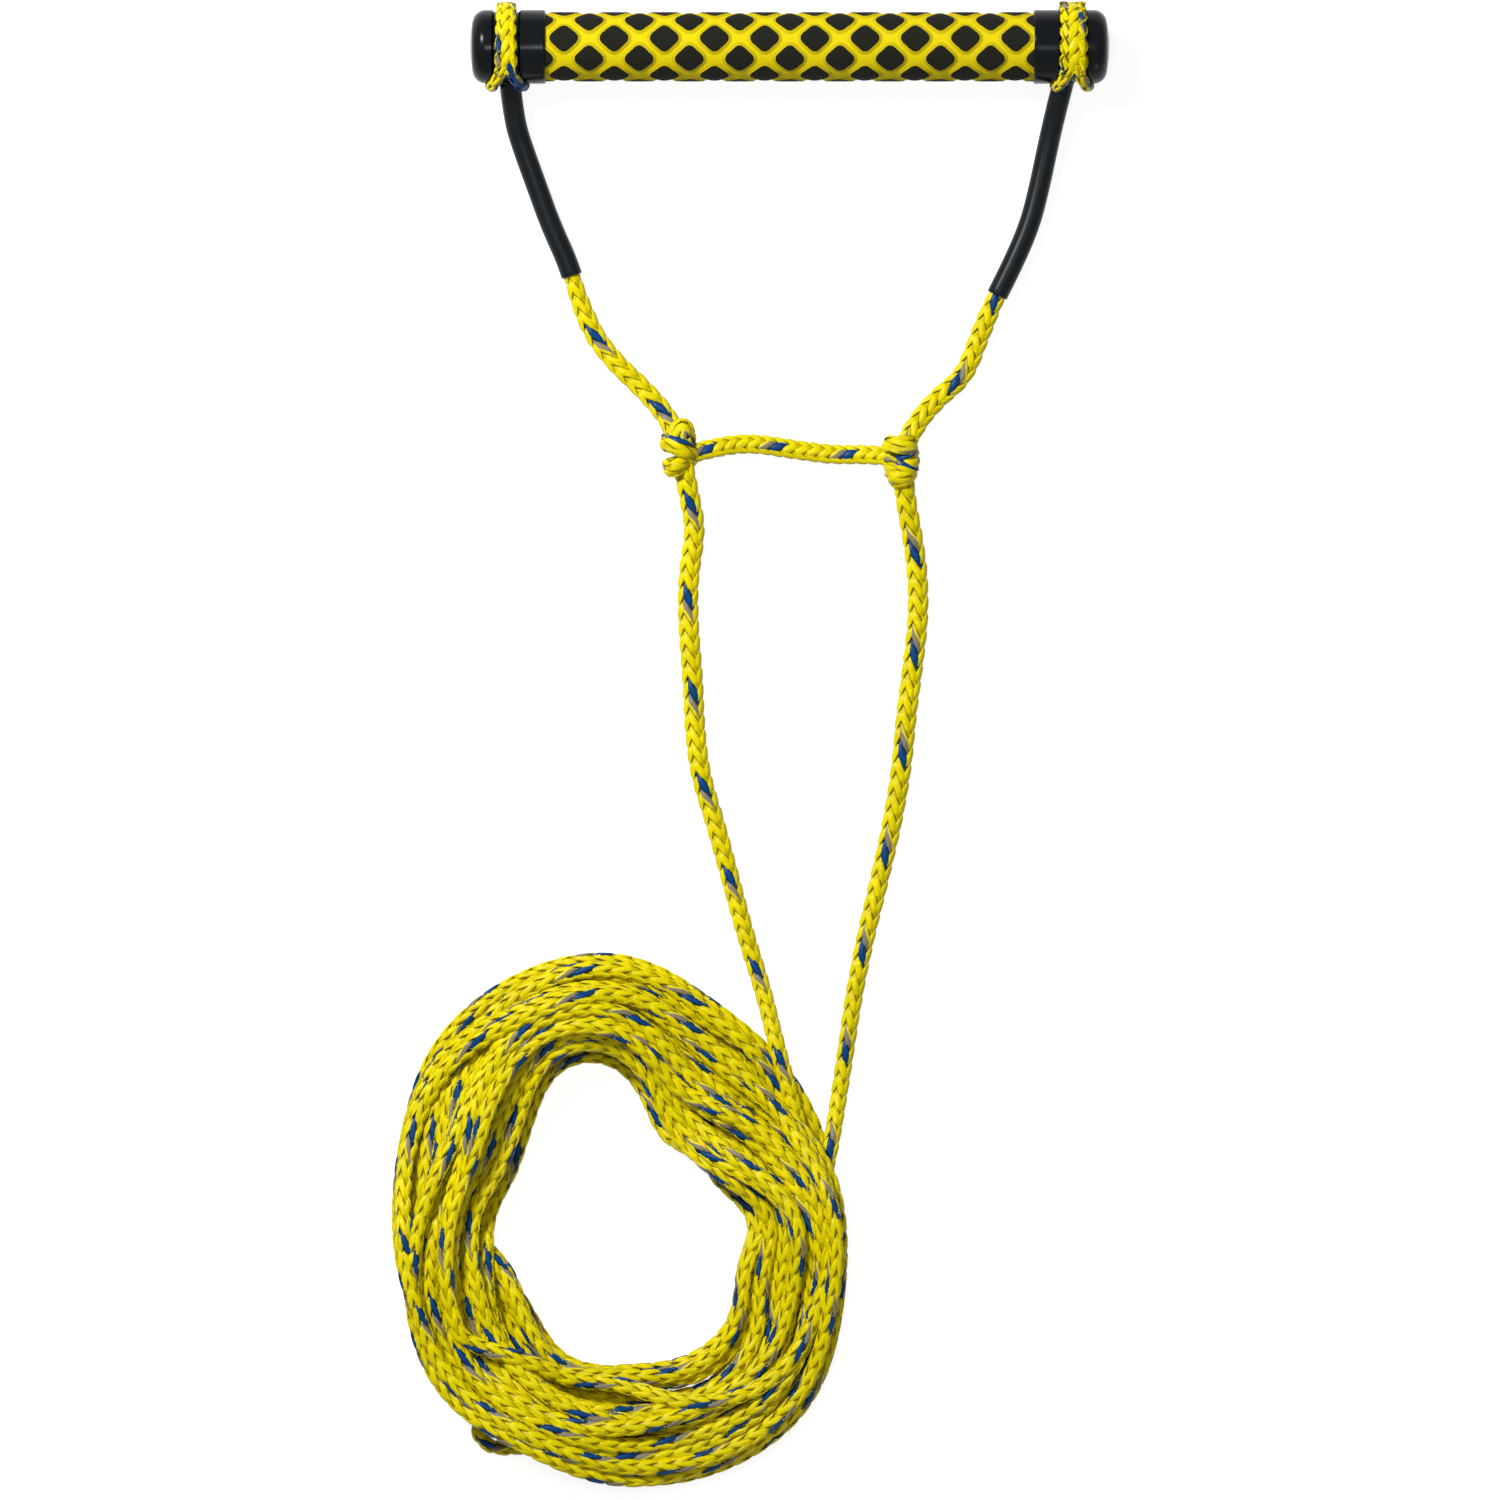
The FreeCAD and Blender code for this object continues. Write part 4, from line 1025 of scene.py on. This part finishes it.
def turned(name, outline, title, corners=144):
    """A ring turned about the bar's axis from an outline of (x, radius) points, which closes on itself."""
    angles = math.tau * np.arange(corners) / corners
    points = [round_bar(x, radius, angle) for x, radius in outline for angle in angles]
    return solid(name, points, ring_faces(len(outline), corners), title)


def diamond_outline(grow):
    """A rounded diamond of the grip, grown outwards by a distance, as (x, y) points."""
    grip = bpy.context.scene.tow_rope_grip
    half_length, half_width, corner = grip.diamond_half_length, grip.diamond_half_width, grip.diamond_corner
    lean = math.atan2(half_width, half_length)
    points = []
    for quarter in range(4):
        reach = half_length if quarter % 2 == 0 else half_width
        spread = math.pi / 2 - lean if quarter % 2 == 0 else lean
        away = math.pi / 2 * quarter
        inset = corner / math.cos(spread)
        for turn in np.linspace(-spread, spread, 4):
            outwards = [(corner + grow) * part(away + turn) for part in (math.cos, math.sin)]
            middle = [(reach - inset) * part(away) for part in (math.cos, math.sin)]
            points.append((middle[0] + outwards[0], middle[1] + outwards[1]))
        points.append(points[-1])  # stands for the middle of the straight side that follows
    count = len(points)
    for at in range(4, count, 5):
        before, after = points[at - 1], points[(at + 1) % count]
        points[at] = ((before[0] + after[0]) / 2, (before[1] + after[1]) / 2)
    return points


def diamond_pad():
    """One flat diamond pad: a crowned black top with a broken edge, and yellow walls that flare out."""
    grip = bpy.context.scene.tow_rope_grip
    top = grip.diamond_height
    rings = [  # how much painted wall shade each gets, how far it is grown, its height and its scale
        (0.00, -0.0008, top * 1.08, 0.55),
        (0.00, -0.0008, top * 1.0, 1.0),
        (0.00, -0.00022, top * 0.93, 1.0),
        (0.60, 0.0, top * 0.76, 1.0),
        (1.00, 0.0005, top * 0.50, 1.0),
        (0.80, 0.0012, top * 0.20, 1.0),
        (0.10, 0.0022, -top * 0.12, 1.0),
    ]
    points, faces, painted_wall_shade = [(0.0, 0.0, top * 1.1)], [], [0.0]
    for shade, grow, height, scale in rings:
        for x, y in diamond_outline(grow):
            points.append((x * scale, y * scale, height))
            painted_wall_shade.append(shade)
    count = (len(points) - 1) // len(rings)
    for at in range(count):
        faces.append((0, 1 + at, 1 + (at + 1) % count))
        for ring in range(len(rings) - 1):
            start, after = 1 + ring * count, 1 + (ring + 1) * count
            faces.append((start + at, after + at, after + (at + 1) % count, start + (at + 1) % count))
    mesh = bpy.data.meshes.new("diamond_pad")
    mesh.from_pydata(points, [], faces)
    black = mesh.attributes.new("black", "FLOAT", "FACE")
    tops = [at % len(rings) < BLACK_FACES for at in range(len(faces))]
    black.data.foreach_set("value", np.array(tops, float))
    # painted shade: each point's share of the darker wall colour, highest on the walls
    give(mesh, "painted_wall_shade", painted_wall_shade)
    return mesh


def diamond_tree():
    """Sets a flat pad out in staggered rows, cuts it off at the grip's ends and bends it round the bar."""
    tree, given, result = geometry_tree(
        "Diamond pads",
        Float=("Radius", "Axis Height", "Grip Length", "Pitch", "First Row"),
        Int=("Rows", "Columns"),
        Material=("Black Foam", "Yellow Foam"),
    )
    inputs = given.outputs
    radius, rows, columns = inputs["Radius"], inputs["Rows"], inputs["Columns"]
    total = add(tree, MATH, columns, rows, operation="MULTIPLY")
    spots = add(tree, "GeometryNodeMeshLine", {"Count": total})
    number = add(tree, "GeometryNodeInputIndex")
    row = add(tree, MATH, number, columns, operation="DIVIDE")
    row = add(tree, MATH, row, operation="FLOOR")
    column = add(tree, MATH, number, columns, operation="MODULO")
    half = add(tree, MATH, columns, 0.5, -0.5, operation="MULTIPLY_ADD")
    x = add(tree, MATH, row, 2.0, operation="MODULO")
    x = add(tree, MATH, x, 0.5, column, operation="MULTIPLY_ADD")
    x = add(tree, MATH, x, half, operation="SUBTRACT")
    x = add(tree, MATH, x, inputs["Pitch"], operation="MULTIPLY")
    step = add(tree, MATH, math.tau, rows, operation="DIVIDE")
    step = add(tree, MATH, step, radius, operation="MULTIPLY")
    first = add(tree, MATH, inputs["First Row"], radius, operation="MULTIPLY")
    y = add(tree, MATH, row, step, operation="MULTIPLY")
    y = add(tree, MATH, y, first, operation="ADD")
    place = add(tree, "ShaderNodeCombineXYZ", x, y)
    spots = add(tree, "GeometryNodeSetPosition", spots, {"Position": place})
    pads = add(tree, "GeometryNodeInstanceOnPoints", spots, {"Instance": inputs["Geometry"]})
    pads = add(tree, "GeometryNodeRealizeInstances", pads)

    flat = add(tree, "ShaderNodeSeparateXYZ", add(tree, "GeometryNodeInputPosition"))
    end = add(tree, MATH, inputs["Grip Length"], 0.5, operation="MULTIPLY")
    beyond = add(tree, MATH, flat.outputs["X"], operation="ABSOLUTE")
    beyond = add(tree, MATH, beyond, end, operation="GREATER_THAN")
    pads = add(tree, "GeometryNodeDeleteGeometry", pads, {"Selection": beyond})
    angle = add(tree, MATH, flat.outputs["Y"], radius, operation="DIVIDE")
    reach = add(tree, MATH, flat.outputs["Z"], radius, operation="ADD")
    across = add(tree, MATH, angle, operation="SINE")
    across = add(tree, MATH, across, reach, operation="MULTIPLY")
    up = add(tree, MATH, angle, operation="COSINE")
    up = add(tree, MATH, up, reach, inputs["Axis Height"], operation="MULTIPLY_ADD")
    bent = add(tree, "ShaderNodeCombineXYZ", flat.outputs["X"], across, up)
    pads = add(tree, "GeometryNodeSetPosition", pads, {"Position": bent})
    pads = add(tree, "GeometryNodeSetShadeSmooth", pads)
    pads = add(tree, "GeometryNodeRealizeInstances", pads)
    pads = add(tree, SET_MATERIAL, pads, {"Material": inputs["Yellow Foam"]})
    black = add(tree, ATTRIBUTE, "black", data_type="FLOAT")
    black = add(tree, MATH, black, 0.5, operation="GREATER_THAN")
    pads = add(tree, SET_MATERIAL, pads, black, inputs["Black Foam"])
    wire(tree, result, pads)
    return tree


def make_grip():
    """The foam sleeve and its raised diamond pads."""
    grip = bpy.context.scene.tow_rope_grip
    end, bore, edge = grip.sleeve_length / 2, grip.tube_radius, 0.0004
    outer = grip.sleeve_radius
    outline = [
        (-end, bore), (-end, outer - edge), (-end + edge, outer),
        *[(x, outer) for x in np.linspace(-end + 0.004, end - 0.004, 60)],
        (end - edge, outer), (end, outer - edge), (end, bore),
    ]
    sleeve = turned("foam_sleeve", outline, "yellow_foam")
    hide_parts("grip_sleeve")
    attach(sleeve, BAR)
    values = {
        "Radius": grip.sleeve_radius, "Axis Height": BAR_AXIS.z, "Grip Length": grip.sleeve_length,
        "Pitch": grip.diamond_pitch, "Rows": grip.diamond_rows, "Columns": DIAMOND_COLUMNS,
        "First Row": FIRST_ROW, "Black Foam": finish("black_foam"), "Yellow Foam": finish("yellow_foam"),
    }
    pads = bake("foam_diamonds", diamond_pad(), diamond_tree(), values)
    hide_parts("grip_diamonds")
    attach(pads, BAR)


def dress(node, title):
    """Gives a carried-over node its finish."""
    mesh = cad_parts[node].data
    mesh.materials.clear()
    mesh.materials.append(finish(title))


# --- stage -------------------------------------------------------

WHITE = (1, 1, 1, 1)
FLOOR_SIZE = 6.0
MIDDLE_HEIGHT = 0.012  # height at which the picture has its stated width
LAMPS = {  # for each, its place from the middle of the floor, its size, and its share of the main power
    "key_light": ((-0.85, 0.95, 1.45), 0.42, 1.0),
    "fill_light": ((-0.05, 0.10, 2.0), 0.30, 0.12),
    "front_light": ((0.70, -1.50, 0.60), 0.40, 0.08),
}


def make_stage():
    """A white floor that keeps the object's shadow, soft studio light and a camera straight above."""
    scene = bpy.context.scene
    stage = scene.tow_rope_stage
    middle = Vector((stage.camera_x, stage.camera_y, 0))
    bpy.ops.mesh.primitive_plane_add(size=FLOOR_SIZE, location=middle)
    floor = bpy.context.object
    floor.name = "studio_floor"
    floor.data.materials.append(floor_material())

    world = bpy.data.worlds.new("even_light")
    world.use_nodes = True
    tree = world.node_tree
    shares = shown_directly(tree), 1 - stage.sky_level, stage.sky_level
    level = add(tree, MATH, *shares, operation="MULTIPLY_ADD")
    wire(tree, tree.nodes["Background"], {"Strength": level, "Color": WHITE})
    scene.world = world

    for name, (place, size, share) in LAMPS.items():
        lamp = bpy.data.lights.new(name, "AREA")
        lamp.shape = "SQUARE"
        lamp.size = size
        lamp.energy = stage.key_power * share
        holder = show(name, lamp)
        holder.location = Vector(place) + middle
        holder.rotation_euler = (middle - holder.location).to_track_quat("-Z", "Y").to_euler()

    camera = bpy.data.cameras.new("camera")
    camera.lens = stage.lens
    camera.sensor_width = 36.0
    camera.clip_end = 20.0
    distance = stage.picture_width * stage.lens / camera.sensor_width
    holder = show("camera", camera)
    holder.location = (*middle.xy, distance + MIDDLE_HEIGHT)
    scene.camera = holder
    scene.view_settings.view_transform = "Standard"


def shown_directly(tree):
    """1 for rays from the camera and those that gloss or glass sends on, and 0 for the light on things."""
    path = add(tree, "ShaderNodeLightPath").outputs
    shown = add(tree, MATH, path["Is Camera Ray"], path["Is Glossy Ray"], operation="MAXIMUM")
    return add(tree, MATH, shown, path["Is Transmission Ray"], operation="MAXIMUM")


def floor_material():
    """Matt white paper: pure white to the camera and in reflections, with the shadows kept."""
    settings = {"Base Color": (0.5, 0.5, 0.5, 1), "Roughness": 0.9, "IOR": 1.5, "Emission Color": WHITE}
    made, tree, shader = material("white_paper", settings)
    # the glow is weaker round the object, where the lamps light the paper and the shadows lie
    where = add(tree, "ShaderNodeTexCoord")
    away = add(tree, VECTOR_MATH, where.outputs["Object"], operation="LENGTH").outputs["Value"]
    ring = {"From Min": 0.6, "From Max": 1.5, "To Min": 0.84, "To Max": 1.0}
    glow = add(tree, MAP_RANGE, away, ring)
    seen = add(tree, MATH, shown_directly(tree), glow, operation="MULTIPLY")
    wire(tree, shader, {"Emission Strength": seen})
    return made


@functools.cache
def finish(name):
    """A finish by name, made when it is first wanted."""
    rope = bpy.context.scene.tow_rope
    grey = (rope.second_marker, rope.second_marker_shade, rope.main_colour)
    maker, *given = {
        "yarn_main": (yarn_material, "yellow_polyethylene_yarn", rope.main_colour, rope.main_shade),
        "yarn_first_marker": (
            yarn_material, "blue_polyethylene_yarn", rope.first_marker, rope.first_marker_shade
        ),
        "yarn_second_marker": (yarn_material, "grey_polyethylene_yarn", *grey),
        "yarn_second_marker_mirrored": (
            yarn_material, "grey_polyethylene_yarn_mirrored", *grey, "GREATER_THAN"
        ),
        "hose": (hose_material,),
        "cap": (cap_material,),
        "yellow_foam": (foam_material, "yellow_eva_foam", rope.yellow_foam, rope.yellow_foam_painted_shade, 0.78),
        "black_foam": (foam_material, "black_eva_foam", rope.black_foam, rope.black_foam_painted_shade, 0.88),
        "tube": (tube_material,),
        "plug": (plug_material,),
    }[name]
    return maker(*given)


# --- operators ---------------------------------------------------


class TOWROPE_OT_bridle(bpy.types.Operator):
    """Weaves the legs with their hoses, the cross rope with its knots, and the tow eye"""

    bl_idname = "towrope.bridle"
    bl_label = "Bridle"

    def execute(self, context):
        make_bridle()
        return {"FINISHED"}


class TOWROPE_OT_coil(bpy.types.Operator):
    """Lays and weaves the coiled main line"""

    bl_idname = "towrope.coil"
    bl_label = "Coiled line"

    def execute(self, context):
        make_coil()
        return {"FINISHED"}


class TOWROPE_OT_eyes(bpy.types.Operator):
    """Weaves the rope eyes round the bar"""

    bl_idname = "towrope.eyes"
    bl_label = "Rope eyes"

    def execute(self, context):
        for side in SIDES:
            make_eye(side)
        return {"FINISHED"}


class TOWROPE_OT_grip(bpy.types.Operator):
    """Makes the foam grip with its diamond pads"""

    bl_idname = "towrope.grip"
    bl_label = "Foam grip"

    def execute(self, context):
        make_grip()
        return {"FINISHED"}


class TOWROPE_OT_bar_ends(bpy.types.Operator):
    """Finishes the caps, the tube and its plugs"""

    bl_idname = "towrope.bar_ends"
    bl_label = "Caps and tube"

    def execute(self, context):
        dress("core_tube", "tube")
        for side in SIDES:
            dress(f"end_cap_{side}", "cap")
            dress(f"tube_plug_{side}", "plug")
        return {"FINISHED"}


class TOWROPE_OT_stage(bpy.types.Operator):
    """Sets the floor, the light and the camera"""

    bl_idname = "towrope.stage"
    bl_label = "Stage"

    def execute(self, context):
        make_stage()
        return {"FINISHED"}


class TOWROPE_PT_panel(bpy.types.Panel):
    """The settings and the makers of the tow rope handle"""

    bl_label = "Tow Rope Handle"
    bl_idname = "TOWROPE_PT_panel"
    bl_space_type = "VIEW_3D"
    bl_region_type = "UI"
    bl_category = "Tow Rope"

    def draw(self, context):
        for settings in (context.scene.tow_rope, context.scene.tow_rope_grip, context.scene.tow_rope_stage):
            box = self.layout.box()
            for name in settings.__annotations__:
                box.prop(settings, name)
        for maker in OPERATORS:
            self.layout.operator(maker.bl_idname)


OPERATORS = (
    TOWROPE_OT_bridle,
    TOWROPE_OT_coil,
    TOWROPE_OT_eyes,
    TOWROPE_OT_grip,
    TOWROPE_OT_bar_ends,
    TOWROPE_OT_stage,
)
CLASSES = (RopeSettings, GripSettings, StageSettings, *OPERATORS, TOWROPE_PT_panel)


def register():
    for part in CLASSES:
        bpy.utils.register_class(part)
    bpy.types.Scene.tow_rope = PointerProperty(type=RopeSettings)
    bpy.types.Scene.tow_rope_grip = PointerProperty(type=GripSettings)
    bpy.types.Scene.tow_rope_stage = PointerProperty(type=StageSettings)


def unregister():
    del bpy.types.Scene.tow_rope_stage
    del bpy.types.Scene.tow_rope_grip
    del bpy.types.Scene.tow_rope
    for part in reversed(CLASSES):
        bpy.utils.unregister_class(part)


def main():
    register()
    bpy.ops.towrope.bridle()
    bpy.ops.towrope.coil()
    bpy.ops.towrope.eyes()
    bpy.ops.towrope.grip()
    bpy.ops.towrope.bar_ends()
    bpy.ops.towrope.stage()
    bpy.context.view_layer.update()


if __name__ == "__main__":
    main()
